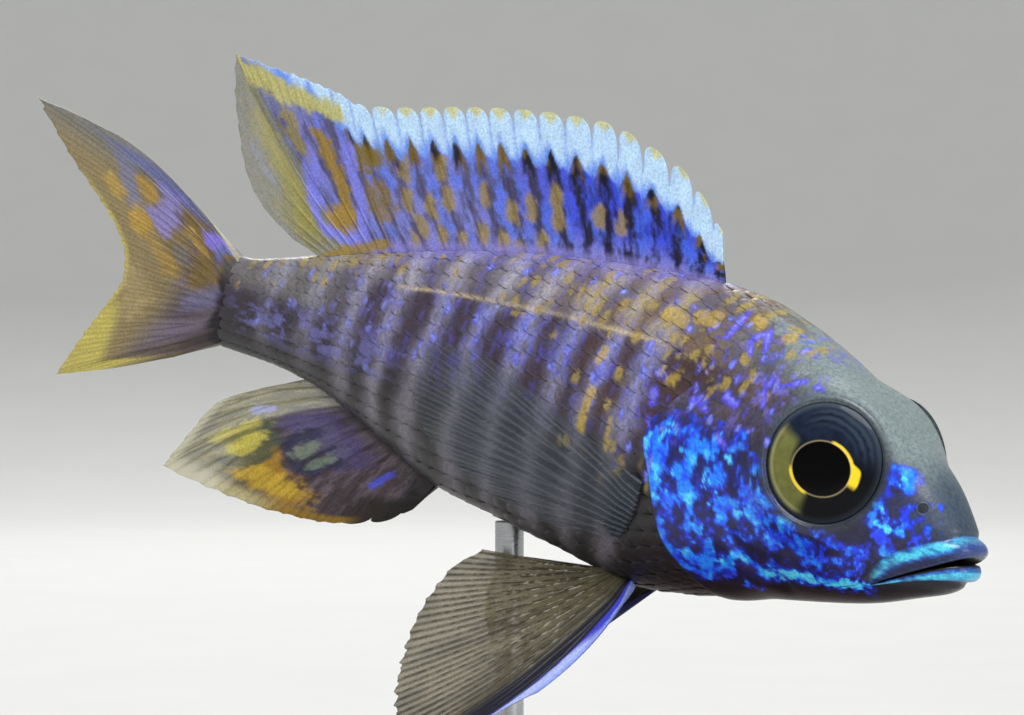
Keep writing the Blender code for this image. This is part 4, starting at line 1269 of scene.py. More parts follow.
    def lips(self, tint: np.ndarray, gleam: np.ndarray, s: np.ndarray, lip: np.ndarray,
             points: np.ndarray) -> tuple[np.ndarray, np.ndarray]:
        """Paints the lips: a cyan streak along the top of each on deep blue, and the gape near black as
        painted shade.

        Args:
            tint: the colours so far.
            gleam: the gleam so far.
            s: places along the fish, in millimetres back from the snout.
            lip: millimetres out from the gape, positive on the upper lip and negative on the lower.
            points: points of the straight fish, in millimetres.

        Returns:
            The colours and the gleam.
        """
        grain = Noise(41).layered(points * np.array([1.0, 1.0, 3.0]), 1.2) - 0.5
        out = np.abs(lip)
        fade = ease((9.6 - s) / 1.6)
        upper = lip > 0
        body = mix("#17348C", "#2F78D8", ease(0.35 + grain * 3.0))
        body = mix(body, "#0E1434", np.where(upper, band(out, 0.25, 0.95, 0.4) * 0.9, 0))
        edge = np.where(upper, band(out, 1.25, 1.85, 0.4), band(out, 0.55, 1.35, 0.5))
        paint = mix(body, "#4FCBEA", np.clip(edge * (0.85 + grain * 2.4), 0, 1))
        front = ease((2.6 - s) / 1.6)
        paint = mix(paint, "#3A4E8C", front * upper * 0.7)
        cover = np.where(upper, band(out, 0.25, 2.0, 0.3), band(out, 0.2, 1.7, 0.4)) * fade
        mouth = ease((0.25 - out) / 0.2) * (out < 0.3)
        tint = mix(tint, paint, cover * 0.95)
        under = (lip < 0) * band(out, 1.8, 3.2, 0.6) * fade
        tint = mix(tint, "#0C0D1E", under * 0.8)
        # Painted shade: the gape and the inside of the mouth are made near black.
        tint = mix(tint, "#040408", mouth)
        return tint, np.maximum(gleam, cover)


MARKS = Markings()


@dataclass
class Skin:
    """The whole skin of head, torso and tail stalk in one mesh without a seam."""

    side_columns: int = 200
    corner_column: int = 128
    corner_angle: float = math.radians(-58.0)
    gape_front_z: float = -1.9
    gape_slope: float = -0.55
    gape_corner: float = 8.6
    gape_open: float = 0.32
    gape_shut: float = 0.1
    gape_power: float = 1.3
    lip_width: float = 1.9
    lip_height: float = 0.5
    lip_fullness: float = 0.8
    lip_groove: float = 0.25
    groove_out: float = 0.15
    groove_width: float = 0.35
    lip_at_corner: float = 0.45
    lip_power: float = 0.7
    lip_rows: int = 26
    face_rows: int = 84
    mouth_depths: tuple = (3.4, 2.6, 1.8, 1.1, 0.6, 0.3, 0.12)
    head_step: float = 0.17
    body_step: float = 0.33
    coat_depth: float = 0.16
    bare_depth: float = 0.04
    gill_tuck: tuple = ((0.02, 0.30), (0.03, -0.1), (0.05, -0.35), (0.2, -0.42), (0.5, -0.3),
                        (0.9, -0.2))
    behind_gill: float = 1.2
    eye_rim: tuple = ((7.0, 0.02), (6.7, 0.12), (6.45, 0.17), (6.2, 0.18), (5.98, 0.14),
                      (5.84, 0.06), (5.76, -0.06), (5.72, -0.5), (5.6, -1.6))
    nostril_rim: tuple = ((0.9, -0.12), (0.74, 0.04), (0.62, 0.12), (0.52, 0.12), (0.43, 0.02),
                          (0.38, -0.3), (0.32, -0.7), (0.02, -0.8))
    nostril_place: tuple = (5.7, 3.55, 1.8)
    nostril_out: float = 0.56
    rim_segments: int = 160
    nostril_segments: int = 40
    socket_out: float = 5.6
    pit_shade_strength: float = 0.9
    no_lip: float = 9.0

    def columns(self) -> tuple[np.ndarray, np.ndarray, np.ndarray, np.ndarray]:
        """For each column round the body: its angle, its side, its place on the mouth, and its lip.

        Returns:
            The angle from the widest point up, the side -1 or 1, the place from 0 at the mouth's
            front to 1 at its corner, and 1 for the upper lip or -1 for the lower.
        """
        below = self.side_columns - self.corner_column
        upper = np.linspace(math.pi / 2, self.corner_angle, self.corner_column + 1)
        lower = np.linspace(self.corner_angle, -math.pi / 2, below + 1)
        down = np.concatenate([upper, lower[1:]])
        mouth = np.concatenate([np.linspace(0, 1, self.corner_column + 1),
                                np.linspace(1, 0, below + 1)[1:]])
        lip = np.concatenate([np.ones(self.corner_column), [0], -np.ones(below)])
        side = np.concatenate([-np.ones(self.side_columns + 1), np.ones(self.side_columns - 1)])
        return (np.concatenate([down, down[-2:0:-1]]), side,
                np.concatenate([mouth, mouth[-2:0:-1]]), np.concatenate([lip, lip[-2:0:-1]]))

    def face(self) -> tuple[list[np.ndarray], list[np.ndarray]]:
        """Rings from the bottom of the mouth over the lips to the section at the eye.

        Returns:
            The rings, and for each the signed distance out from the gape.
        """
        angle, side, along, lips = self.columns()
        centre = np.array(BODY.face_centre)
        gape_s = BODY.snout + 0.02 + (self.gape_corner - BODY.snout) * along
        gape_z = self.gape_front_z + self.gape_slope * (gape_s - BODY.snout)
        gape = np.stack([gape_s, side * BODY.flank(gape_s, gape_z), gape_z], -1)
        opening = self.gape_shut + (self.gape_open - self.gape_shut) * (1 - along) ** self.gape_power
        gape[:, 2] += lips * opening
        start = unit(gape - centre)
        end = unit(BODY.section(np.full(angle.shape, centre[0]), angle, side) - centre)
        turn = np.arccos(np.clip((start * end).sum(-1), -1, 1))
        first = BODY.cast_out(centre, start)
        size = self.lip_at_corner + (1 - self.lip_at_corner) * (1 - along) ** self.lip_power
        rows, marks = [], []
        for depth in self.mouth_depths:
            rows.append(centre + start * (first - depth)[:, None])
            marks.append(np.zeros(len(angle)))
        arc = first * turn
        lip_share = self.lip_width / arc
        shares = [self.lip_width * k / self.lip_rows / arc for k in range(self.lip_rows + 1)]
        shares += [lip_share + (1 - lip_share) * k / self.face_rows for k in range(1, self.face_rows + 1)]
        for share in shares:
            direction = (start * (np.sin((1 - share) * turn) / np.sin(turn))[:, None]
                         + end * (np.sin(share * turn) / np.sin(turn))[:, None])
            reach = BODY.cast_out(centre, direction)
            out = share * arc
            dome = np.sin(math.pi * np.clip(out / self.lip_width, 0, 1)) ** self.lip_fullness
            swell = self.lip_height * size * dome
            past = (out - self.lip_width - self.groove_out) / self.groove_width
            crease = self.lip_groove * np.exp(-(past ** 2))
            rows.append(centre + direction * (reach + swell - crease - self.bare_depth)[:, None])
            marks.append(lips * out)
        return rows, marks

    def ring(self, s: float, shift: float = 0.0) -> np.ndarray:
        """One ring of the plain outline near s, curved as the gill cover's edge where close to it.

        Args:
            s: the ring's place before it is curved.
            shift: how far back the whole ring is moved, in millimetres.

        Returns:
            The points of the ring.
        """
        angle, side, _, _ = self.columns()
        nominal, start, stop = BODY.gill_nominal, BODY.face_centre[0], BODY.gill_curve_end
        pull = ease((s - start) / (nominal - start)) if s < nominal else ease((stop - s) / (stop - nominal))
        at = np.full(angle.shape, float(s))
        for _ in range(4):
            height = BODY.section(at, angle, side)[:, 2]
            at = s + pull * (BODY.gill(height) - nominal) + shift
        return BODY.section(at, angle, side)

    def trunk(self) -> list[np.ndarray]:
        """Rings from the eye over the gill cover and its free edge to the end of the tail stalk.

        Returns:
            The rings.
        """
        nominal, start = BODY.gill_nominal, BODY.face_centre[0]
        rows = []
        count = round((nominal - start) / self.head_step)
        for k in range(1, count + 1):
            ring = self.ring(start + (nominal - start) * k / count)
            rows.append(ring + BODY.outward(ring) * (BODY.cover_lift(ring) - self.bare_depth)[:, None])
        for shift, depth in self.gill_tuck:
            ring = self.ring(nominal, shift)
            height = ring[:, 2]
            free = BODY.free_edge(height)
            level = free * depth + (1 - free) * -self.coat_depth
            rows.append(ring + BODY.outward(ring) * level[:, None])
        back = nominal + self.behind_gill
        count = round((BODY.stalk_end - back) / self.body_step)
        for k in range(count + 1):
            ring = self.ring(back + (BODY.stalk_end - back) * k / count)
            rows.append(ring - BODY.outward(ring) * self.coat_depth)
        return rows

    def lathed_ring(self, axes: tuple, profile: tuple, segments: int, first: int
                    ) -> tuple[np.ndarray, np.ndarray]:
        """Points and faces of a ring turned round an eye's or a nostril's axis.

        Args:
            axes: the centre and the three unit vectors.
            profile: pairs of radius and height.
            segments: how many points go round.
            first: number of the first point.

        Returns:
            The points and the faces.
        """
        centre, out, ahead, up = axes
        turn = np.linspace(0, 2 * math.pi, segments, endpoint=False)
        spoke = np.cos(turn)[:, None] * ahead + np.sin(turn)[:, None] * up
        rows = [centre + spoke * radius + out * height for radius, height in profile]
        return np.concatenate(rows), grid_quads(len(rows), segments, closed=True) + first

    def build(self, material: bpy.types.Material) -> bpy.types.Object:
        """Builds the skin and dresses it.

        Args:
            material: the finish.

        Returns:
            The piece.
        """
        face, marks = self.face()
        rows = face + self.trunk()
        columns = len(rows[0])
        caps = [rows[0].mean(0), rows[-1].mean(0)]
        points = np.concatenate([ORBIT.shape_skin(np.concatenate(rows)), caps])
        # The last two points close the mouth and the tail end with a fan of triangles each.
        ring = np.arange(columns)
        after, last = (ring + 1) % columns, (len(rows) - 1) * columns
        ends = [np.stack([ring, after, np.full(columns, len(points) - 2)], -1),
                np.stack([last + ring, np.full(columns, len(points) - 1), last + after], -1)]
        pieces, faces = [points], [grid_quads(len(rows), columns, closed=True)[:, ::-1]]
        count = len(points)
        for side in Side:
            rings = ((ORBIT.axes(side), self.eye_rim, self.rim_segments, side is Side.RIGHT),
                     (self.nostril(side), self.nostril_rim, self.nostril_segments, False))
            for axes, profile, segments, kept in rings:
                more, extra = self.lathed_ring(axes, profile, segments, count)
                pieces.append(more)
                faces.append(extra if kept else extra[:, ::-1])
                count += len(more)
        points = np.concatenate(pieces)
        # Only the face's points and the one that closes the mouth belong to the lips.
        lip = np.full(len(points), self.no_lip)
        lip[:len(face) * columns] = np.concatenate(marks)
        lip[len(rows) * columns] = 0.0
        tint, gleam = MARKS.skin(points, lip)
        # Painted shade: the skin is darkened in the nostrils' hollows and the eyes' sockets.
        tint = tint * (1 - self.pit_shade_strength * self.painted_pit_shade(points))[:, None]
        skin = build_mesh("fish_skin", points, np.concatenate(faces), tint, {"gleam": gleam},
                          triangles=np.concatenate(ends))
        dress(skin, material, "skin_body", "head", "torso", "tail_stalk")
        return skin

    def nostril(self, side: Side) -> tuple[np.ndarray, np.ndarray, np.ndarray, np.ndarray]:
        """Centre of the nostril, and the unit vectors out of it, along the snout and across.

        Args:
            side: the side of the fish.

        Returns:
            The centre, and the three vectors.
        """
        s, y, z = self.nostril_place
        centre = np.array([s, side.value * y, z])
        out = BODY.outward(centre[None, :])[0]
        ahead = unit(np.cross(out, np.array([0.0, 0.0, 1.0])))
        return centre, out, ahead, np.cross(out, ahead)

    def painted_pit_shade(self, points: np.ndarray) -> np.ndarray:
        """Painted shade: 1 in the hollow of a nostril, and in an eye's socket.

        Args:
            points: points of the straight fish, in millimetres.

        Returns:
            The share of shadow at each point.
        """
        pit = np.zeros(len(points))
        for side in Side:
            away = np.linalg.norm(points - self.nostril(side)[0], axis=-1)
            pit = np.maximum(pit, ease((self.nostril_out - away) / 0.2))
            height, radius = ORBIT.from_axis(points, side)
            pit = np.maximum(pit, ease((self.socket_out - radius) / 0.1) * (np.abs(height) < ORBIT.depth))
        return pit


@dataclass
class ScaleCoat:
    """The scales: overlapping plates in slanting rows, each set on the skin at its own root."""

    length_step: float = 2.05
    row_step: float = 1.95
    overlap: float = 1.5
    edge_lift: float = 0.14
    root_sink: float = 0.12
    along_points: int = 11
    across_points: int = 11
    arc_samples: int = 90
    row_samples: float = 0.5
    start_s: float = 27.0
    reach: float = 90.0
    rows_each_way: int = 14
    most_columns: int = 64
    end_gap: float = 0.8
    past_midline: float = 0.3
    first_s: float = 23.0
    gill_overlap: float = 0.6
    gill_gap: float = 0.1
    nape_z: float = 6.5
    nape_reach: float = 8.0
    nape_rise: float = 9.0
    root_share: float = 0.42
    roundness: float = 2.6
    half_width: float = 0.62
    taper: float = 0.12
    lift_power: float = 0.8
    side_curl: float = 0.10
    lip_curl: float = 0.05
    lip_from: float = 0.97
    unevenness: float = 0.05
    bare_share: float = 0.55
    flush_share: float = 0.7
    flush_from: float = 91.0
    settle: float = 0.02
    front_size: float = 0.72
    rear_loss: float = 0.34
    plates_a_piece: int = 700
    patch: float = 0.003
    unwrap_size: tuple = (102.0, 110.0)

    def __post_init__(self) -> None:
        """Measures the sections, so that a place on the flank can be given by its arc, and sets out
        the columns of scales, with steps that follow the scales' size."""
        self.stations = np.arange(8.0, BODY.stalk_end + 0.3, self.row_samples)
        share = np.linspace(0, 1, self.arc_samples)
        self.arcs = {}
        for up in (1, -1):
            angle = share * math.pi / 2 * up
            grid = np.broadcast_to(angle, (len(self.stations), len(angle)))
            table = BODY.section(self.stations[:, None], grid, 1.0)
            step = np.linalg.norm(np.diff(table[..., 1:], axis=1), axis=-1)
            self.arcs[up] = np.concatenate([np.zeros((len(table), 1)), np.cumsum(step, axis=1)], axis=1)
        places = [0.0]
        while places[-1] < self.reach:
            places.append(places[-1] + self.length_step * self.size_at(self.start_s + places[-1]))
        self.columns = np.array(places)
        u = np.linspace(0, 1, self.along_points)
        v = np.linspace(-1, 1, self.across_points)
        self.u, self.v = (part.ravel() for part in np.meshgrid(u, v, indexing="ij"))

    def full_arc(self, s: np.ndarray, up: int) -> np.ndarray:
        """Length of the section's upper or lower half from the widest point to the midline."""
        return np.interp(s, self.stations, self.arcs[up][:, -1])

    def on_flank(self, s: np.ndarray, arc: np.ndarray) -> np.ndarray:
        """Points at s and an arc length above or below the widest point, on the left side.

        Args:
            s: places along the fish, in millimetres back from the snout.
            arc: arc lengths, in millimetres.

        Returns:
            The points.
        """
        s = np.clip(s, self.stations[0], self.stations[-1])
        row = (s - self.stations[0]) / self.row_samples
        low = np.clip(row.astype(int), 0, len(self.stations) - 2)
        part = row - low
        angle = np.zeros(s.shape)
        for up in (1, -1):
            table = self.arcs[up]
            reach = np.abs(arc)
            found = np.zeros(s.shape)
            total = self.full_arc(s, up)
            share = reach / total
            for k, weight in ((low, 1 - part), (low + 1, part)):
                rows = table[k] / table[k][:, -1:]
                place = (rows < share[:, None]).sum(1).clip(1, self.arc_samples - 1)
                index = np.arange(len(k))
                before, after = rows[index, place - 1], rows[index, place]
                inner = (np.clip(share, 0, 1.2) - before) / np.maximum(after - before, 1e-9)
                found += weight * (place - 1 + inner) / (self.arc_samples - 1)
            angle = np.where(np.sign(arc) == up, found * math.pi / 2 * up, angle)
        over = np.abs(angle) > math.pi / 2
        turned = np.where(over, np.sign(angle) * math.pi - angle, angle)
        points = BODY.section(s, turned, 1.0)
        points[..., 1] = np.where(over, -points[..., 1], points[..., 1])
        return points

    def roots(self) -> np.ndarray:
        """Places of the scales: s, arc, size, row number and column number.

        Returns:
            One row of five values for each scale.
        """
        found = []
        for row in range(-self.rows_each_way, self.rows_each_way + 1):
            for column in range(self.most_columns):
                step = np.interp(column + 0.5 * (row % 2), np.arange(len(self.columns)), self.columns)
                s = self.start_s + float(step)
                if s > BODY.stalk_end - self.end_gap:
                    continue
                size = self.size_at(s)
                arc = row * self.row_step * size
                most = float(self.full_arc(np.array(s), 1 if arc >= 0 else -1))
                if abs(arc) > most + self.past_midline * self.row_step * size:
                    continue
                over = float(self.on_flank(np.array([s]), np.array([arc]))[0, 2]) - self.nape_z
                gap = self.gill_gap if over < 0 else -self.nape_reach * over / self.nape_rise
                limit = float(BODY.gill(over + self.nape_z)) + gap
                if s + self.overlap * self.gill_overlap < max(limit, self.first_s):
                    continue
                found.append((s, arc, size, row, column))
        return np.array(found)

    def size_at(self, s: float) -> float:
        """How large the scales are at s against those of the flank."""
        front = self.front_size + (1 - self.front_size) * float(ease(np.array((s - 26) / 12)))
        return front * (1.0 - self.rear_loss * float(ease(np.array((s - 58) / 40))))

    def plates(self, roots: np.ndarray, side: Side) -> tuple[np.ndarray, np.ndarray, np.ndarray]:
        """Points of all scales of one side.

        Args:
            roots: the scales' places.
            side: left or right.

        Returns:
            Points, colours, and distances across the growth rings.
        """
        uu, vv = self.u, self.v
        rounded = np.sqrt(np.clip(1 - np.abs(vv) ** self.roundness, 0, 1))
        along = uu * (self.root_share + (1 - self.root_share) * rounded)
        size = roots[:, 2][:, None]
        jitter = Noise(51).hashed(np.stack([roots[:, 3], roots[:, 4], roots[:, 3] * 0 + side.value], -1))
        length = self.length_step * self.overlap * size
        s = roots[:, 0][:, None] + (along - self.root_share) * length
        arc = roots[:, 1][:, None] + vv * self.row_step * self.half_width * size * (1 - self.taper * uu)
        flat = self.on_flank(s.ravel(), arc.ravel())
        normal = BODY.outward(flat)
        lift = (-self.root_sink + (self.edge_lift + self.root_sink) * uu ** self.lift_power)[None, :]
        lift = lift - self.side_curl * np.abs(vv)[None, :] ** 3
        lift = lift - self.lip_curl * (uu[None, :] > self.lip_from)
        lift = lift * (0.55 + 0.45 * size) + (jitter[:, None] - 0.5) * self.unevenness
        bare = ease((BODY.gill(flat[:, 2]) + 1.5 - flat[:, 0]) / 2.5)
        flush = ease((flat[:, 0] - self.flush_from) / 8.0)
        level = lift.ravel() * (1 - self.bare_share * bare) * (1 - self.flush_share * flush) - self.settle
        points = flat + normal * level[:, None]
        points[:, 1] *= side.value
        tint = self.colours(points, jitter)
        rings = np.broadcast_to(np.hypot(uu * 1.6, vv * 1.1)[None, :], s.shape).ravel()
        return points, tint, rings

    def colours(self, points: np.ndarray, jitter: np.ndarray) -> np.ndarray:
        """Paints the scales with the skin's markings, with painted shade at the root and a darker free edge.

        Args:
            points: the scales' points on the straight fish.
            jitter: a random number for each scale.

        Returns:
            Linear colours, one a point.
        """
        tint, _ = MARKS.skin(points)
        tint = tint.reshape(len(jitter), len(self.u), 3)
        # Darker root: painted shade where the scale in front covers it. Darker free edge: the scale's own
        # rim, partly painted shade.
        edge = ease((self.u - 0.84) / 0.12) * 0.12 + ease((0.3 - self.u) / 0.3) * 0.2
        tint = tint * (1 - edge)[None, :, None] * (0.93 + 0.14 * jitter)[:, None, None]
        return tint.reshape(-1, 3)

    def build(self, material: bpy.types.Material) -> None:
        """Builds the coat in pieces of a few hundred scales and dresses them.

        Args:
            material: the finish.
        """
        roots = self.roots()
        grid = grid_quads(self.along_points, self.across_points)
        per = self.along_points * self.across_points
        for side in Side:
            points, tint, rings = self.plates(roots, side)
            for k, start in enumerate(range(0, len(roots), self.plates_a_piece)):
                part = roots[start:start + self.plates_a_piece]
                count = len(part)
                chosen = slice(start * per, (start + count) * per)
                quads = (grid[None] + (np.arange(count) * per)[:, None, None]).reshape(-1, 4)
                if side is Side.LEFT:
                    quads = quads[:, ::-1]
                name = f"scales_{side.word}_{k + 1}"
                thing = build_mesh(name, points[chosen], quads, tint[chosen], {"ring": rings[chosen]})
                self.unwrap(thing, part, side)
                dress(thing, material, "skin_body")

    def unwrap(self, thing: bpy.types.Object, roots: np.ndarray, side: Side) -> None:
        """Lays each scale as a small patch at its root's place on an unwrap of the skin.

        Args:
            thing: the piece.
            roots: the five values of each of its scales.
            side: the side of the fish.
        """
        length, height = self.unwrap_size
        base_u = roots[:, 0] / length
        base_v = 0.25 + 0.5 * (side is Side.LEFT) + roots[:, 1] / height
        spot_u = base_u[:, None] + (self.u[None, :] - 0.5) * self.patch
        spot_v = base_v[:, None] + self.v[None, :] * self.patch / 2
        flat = np.stack([spot_u.ravel(), spot_v.ravel()], -1)
        loops = np.empty(len(thing.data.loops), np.int32)
        thing.data.loops.foreach_get("vertex_index", loops)
        layer = thing.data.uv_layers.new(name="OFBake")
        layer.data.foreach_set("uv", flat[loops].astype(np.float32).ravel())
        log.info("%s: %d scales of %d points", thing.name, len(roots), len(self.u))


@dataclass(frozen=True)
class Mark:
    """One stroke or spot of colour on a fin, in ray numbers and shares of the way out."""

    colour: str
    line: tuple
    wide: float
    tall: float
    strength: float = 0.9
    soft: float = 0.8

    def cover(self, ray: np.ndarray, share: np.ndarray, wobble: np.ndarray) -> np.ndarray:
        """How much of the mark lies on each point.

        Args:
            ray: ray numbers.
            share: shares of the way out.
            wobble: roughens the mark's edge, in parts of its half width.

        Returns:
            Cover from 0 to 1.
        """
        size = np.array([self.wide, self.tall])
        away = from_line(np.stack([ray, share], -1) / size, tuple(np.array(self.line) / size))
        return ease((1 + wobble - away) / self.soft + 0.5) * self.strength


@dataclass
class FinSheet:
    """What all fins share: a sheet of membrane over (s, z) with rays that branch and stand proud."""

    name: str = "fin"
    slot: str = "dorsal_membrane"
    rays: int = 10
    spines: int = 0
    rows: int = 100
    per_gap: int = 16
    bow: float = 0.0
    notch: float = 0.0
    notch_rays: int = 0
    frill: float = 0.012
    root_half: float = 0.55
    root_reach: float = 2.5
    ray_half: float = 0.26
    web_half: float = 0.11
    least_half: float = 0.05
    ray_width: float = 0.17
    branch_from: float = 0.3
    branch_reach: float = 0.35
    branch_spread: float = 0.25
    second_after: float = 0.25
    joint_mm: float = 0.55
    joint_depth: float = 0.1
    ray_taper: float = 0.72
    web_taper: float = 0.3
    tips: tuple = ()
    marks: tuple = ()
    seed: int = 81

    def bow_at(self, along: np.ndarray) -> np.ndarray:
        """Bow of the rays, which leaves the first and last ray straight."""
        return self.bow * (1 - (2 * along - 1) ** 4)

    def root_place(self, ray: np.ndarray) -> np.ndarray:
        """(s, z) of the root of each ray."""
        raise NotImplementedError

    def tip_place(self, ray: np.ndarray) -> np.ndarray:
        """(s, z) of the tip of each ray."""
        return np.stack([Curve(self.tips, 1)(ray), Curve(self.tips, 2)(ray)], -1)

    def edge_cut(self, ray: np.ndarray) -> np.ndarray:
        """How far out the membrane reaches at each ray: round lobes about the spines, then a frill.

        Args:
            ray: ray numbers, from 0 at the front.

        Returns:
            The shares of the way out.
        """
        off = np.abs(ray - np.round(ray)) / 0.5
        lobe = 1 - self.notch * (1 - np.sqrt(np.clip(1 - off ** 3, 0, 1)))
        ragged = Noise(self.seed).layered(np.stack([ray * 9, ray * 0, ray * 0 + 1], -1), 1.0)
        frill = 1 - self.frill * (np.abs(np.sin(2 * math.pi * ray)) + 1.2 * ragged)
        return np.where(ray < self.notch_rays, lobe, frill)

    def grid(self) -> tuple[np.ndarray, np.ndarray, np.ndarray]:
        """Points (s, z) of the sheet, with ray numbers and shares of the way out.

        Returns:
            The three arrays.
        """
        ray = np.linspace(0, self.rays - 1, (self.rays - 1) * self.per_gap + 1)
        share = np.linspace(0, 1, self.rows)
        base = self.root_place(ray)
        reach = self.tip_place(ray) - base
        cut = self.edge_cut(ray)
        across = np.stack([-reach[:, 1], reach[:, 0]], -1)
        arc = self.bow_at(ray / (self.rays - 1))[:, None] * (4 * share * (1 - share))[:, None, None]
        flat = base + (share[:, None, None] * reach + arc * across) * cut[:, None]
        return flat, np.broadcast_to(ray, flat.shape[:2]), share[:, None] * cut[None, :]

    def ridges(self, flat: np.ndarray, ray: np.ndarray, share: np.ndarray) -> np.ndarray:
        """1 on the crest of a ray or of one of its branches, 0 on the web between.

        Args:
            flat: the sheet's points (s, z) before it is laid on the fish.
            ray: ray numbers, from 0 at the front.
            share: shares of the way out, from 0 at the root.

        Returns:
            The crest value of each point.
        """
        offset = ray - np.round(ray)
        gap = np.linalg.norm(np.gradient(flat, axis=1), axis=-1) * self.per_gap
        soft = np.round(ray) >= self.spines
        past = share - self.branch_from
        first = np.where(soft, self.branch_spread * ease(past / self.branch_reach), 0)
        second = ease((past - self.second_after) / self.branch_reach)
        second = np.where(soft, self.branch_spread / 2 * second, 0)
        crest = np.zeros(ray.shape)
        for a in (-1, 1):
            for b in (-1, 1):
                away = np.abs(offset - a * first - b * second) * np.maximum(gap, 0.25)
                crest = np.maximum(crest, np.exp(-((away / self.ray_width) ** 2)))
        return crest

    def thickness(self, flat: np.ndarray, crest: np.ndarray, share: np.ndarray) -> np.ndarray:
        """Half thickness of the sheet: thick at the root, ridged by rays and thinning outwards.

        Args:
            flat: the sheet's points (s, z) before it is laid on the fish.
            crest: 1 on a ray and 0 on the web.
            share: shares of the way out, from 0 at the root.

        Returns:
            The half thicknesses, in millimetres.
        """
        steps = np.linalg.norm(np.diff(flat, axis=0), axis=-1)
        out = np.concatenate([np.zeros((1, flat.shape[1])), np.cumsum(steps, axis=0)])
        joints = 1 - self.joint_depth + self.joint_depth * np.cos(out * 2 * math.pi / self.joint_mm)
        ray = self.ray_half * (1 - self.ray_taper * share) * joints
        sheet = self.web_half * (1 - self.web_taper * share) + (ray - self.web_half / 2) * crest
        sheet = np.maximum(sheet, self.least_half)
        rooted = ease(1 - out / self.root_reach)
        return sheet * (1 - rooted) + np.maximum(self.root_thickness(flat), sheet) * rooted

    def root_thickness(self, flat: np.ndarray) -> np.ndarray | float:
        """Half thickness at the roots of the rays, the same for all."""
        return self.root_half

    def lay(self, flat: np.ndarray, ray: np.ndarray, share: np.ndarray
            ) -> tuple[np.ndarray, np.ndarray]:
        """Places the flat sheet in space.

        Args:
            flat: the sheet's points (s, z) before it is laid on the fish.
            ray: ray numbers, from 0 at the front.
            share: shares of the way out, from 0 at the root.

        Returns:
            Points of the straight fish, and the normals along which the sheet is thickened.
        """
        points = np.stack([flat[..., 0], np.zeros(ray.shape), flat[..., 1]], -1)
        return points, np.broadcast_to(np.array([0.0, 1.0, 0.0]), points.shape)

    def grain(self, ray: np.ndarray, share: np.ndarray, across: float, along: float) -> np.ndarray:
        """Noise drawn out along the rays: across in features a ray, along in features a ray's length."""
        return Noise(self.seed).layered(np.stack([ray * across, share * along, ray * 0 + 3], -1), 1.0)

    def mark(self, tint: np.ndarray, ray: np.ndarray, share: np.ndarray) -> np.ndarray:
        """Paints the fin's marks one after another.

        Args:
            tint: the colours so far.
            ray: ray numbers, from 0 at the front.
            share: shares of the way out, from 0 at the root.

        Returns:
            The colours with the marks.
        """
        wobble = (self.grain(ray, share, 4.0, 26.0) - 0.5) * 1.5
        for mark in self.marks:
            tint = mix(tint, mark.colour, mark.cover(ray, share, wobble))
        return tint

    def paint(self, ray: np.ndarray, share: np.ndarray, crest: np.ndarray
              ) -> tuple[np.ndarray, np.ndarray]:
        """Colours and how solid the membrane is at each point."""
        raise NotImplementedError

    def build(self, material: bpy.types.Material) -> bpy.types.Object:
        """Builds the fin in place of its node and dresses it.

        Args:
            material: the finish.

        Returns:
            The piece.
        """
        flat, ray, share = self.grid()
        crest = self.ridges(flat, ray, share)
        half = self.thickness(flat, crest, share)
        middle, normal = self.lay(flat, ray, share)
        normal = unit(normal)
        tint, solid = self.paint(ray, share, crest)
        rows, columns = ray.shape
        front, back = middle + normal * half[..., None], middle - normal * half[..., None]
        points = np.concatenate([front.reshape(-1, 3), back.reshape(-1, 3)])
        size = rows * columns
        sheet = grid_quads(rows, columns)
        border = np.concatenate([np.arange(columns), np.arange(1, rows) * columns + columns - 1,
                                 (rows - 1) * columns + np.arange(columns - 2, -1, -1),
                                 np.arange(rows - 2, 0, -1) * columns])
        following = np.roll(border, -1)
        wall = np.stack([border, border + size, following + size, following], -1)
        quads = np.concatenate([sheet[:, ::-1], sheet + size, wall[:, ::-1]])
        row, column = rows // 2, columns // 2
        across, along = middle[row, -1] - middle[row, 0], middle[-1, column] - middle[0, column]
        if np.cross(across, along) @ normal[row, column] < 0:
            quads = quads[:, ::-1]
        fin = build_mesh(self.name, points, quads, np.concatenate([tint.reshape(-1, 3)] * 2),
                         {"solid": np.concatenate([solid.ravel()] * 2)})
        dress(fin, material, self.slot, self.name)
        return fin


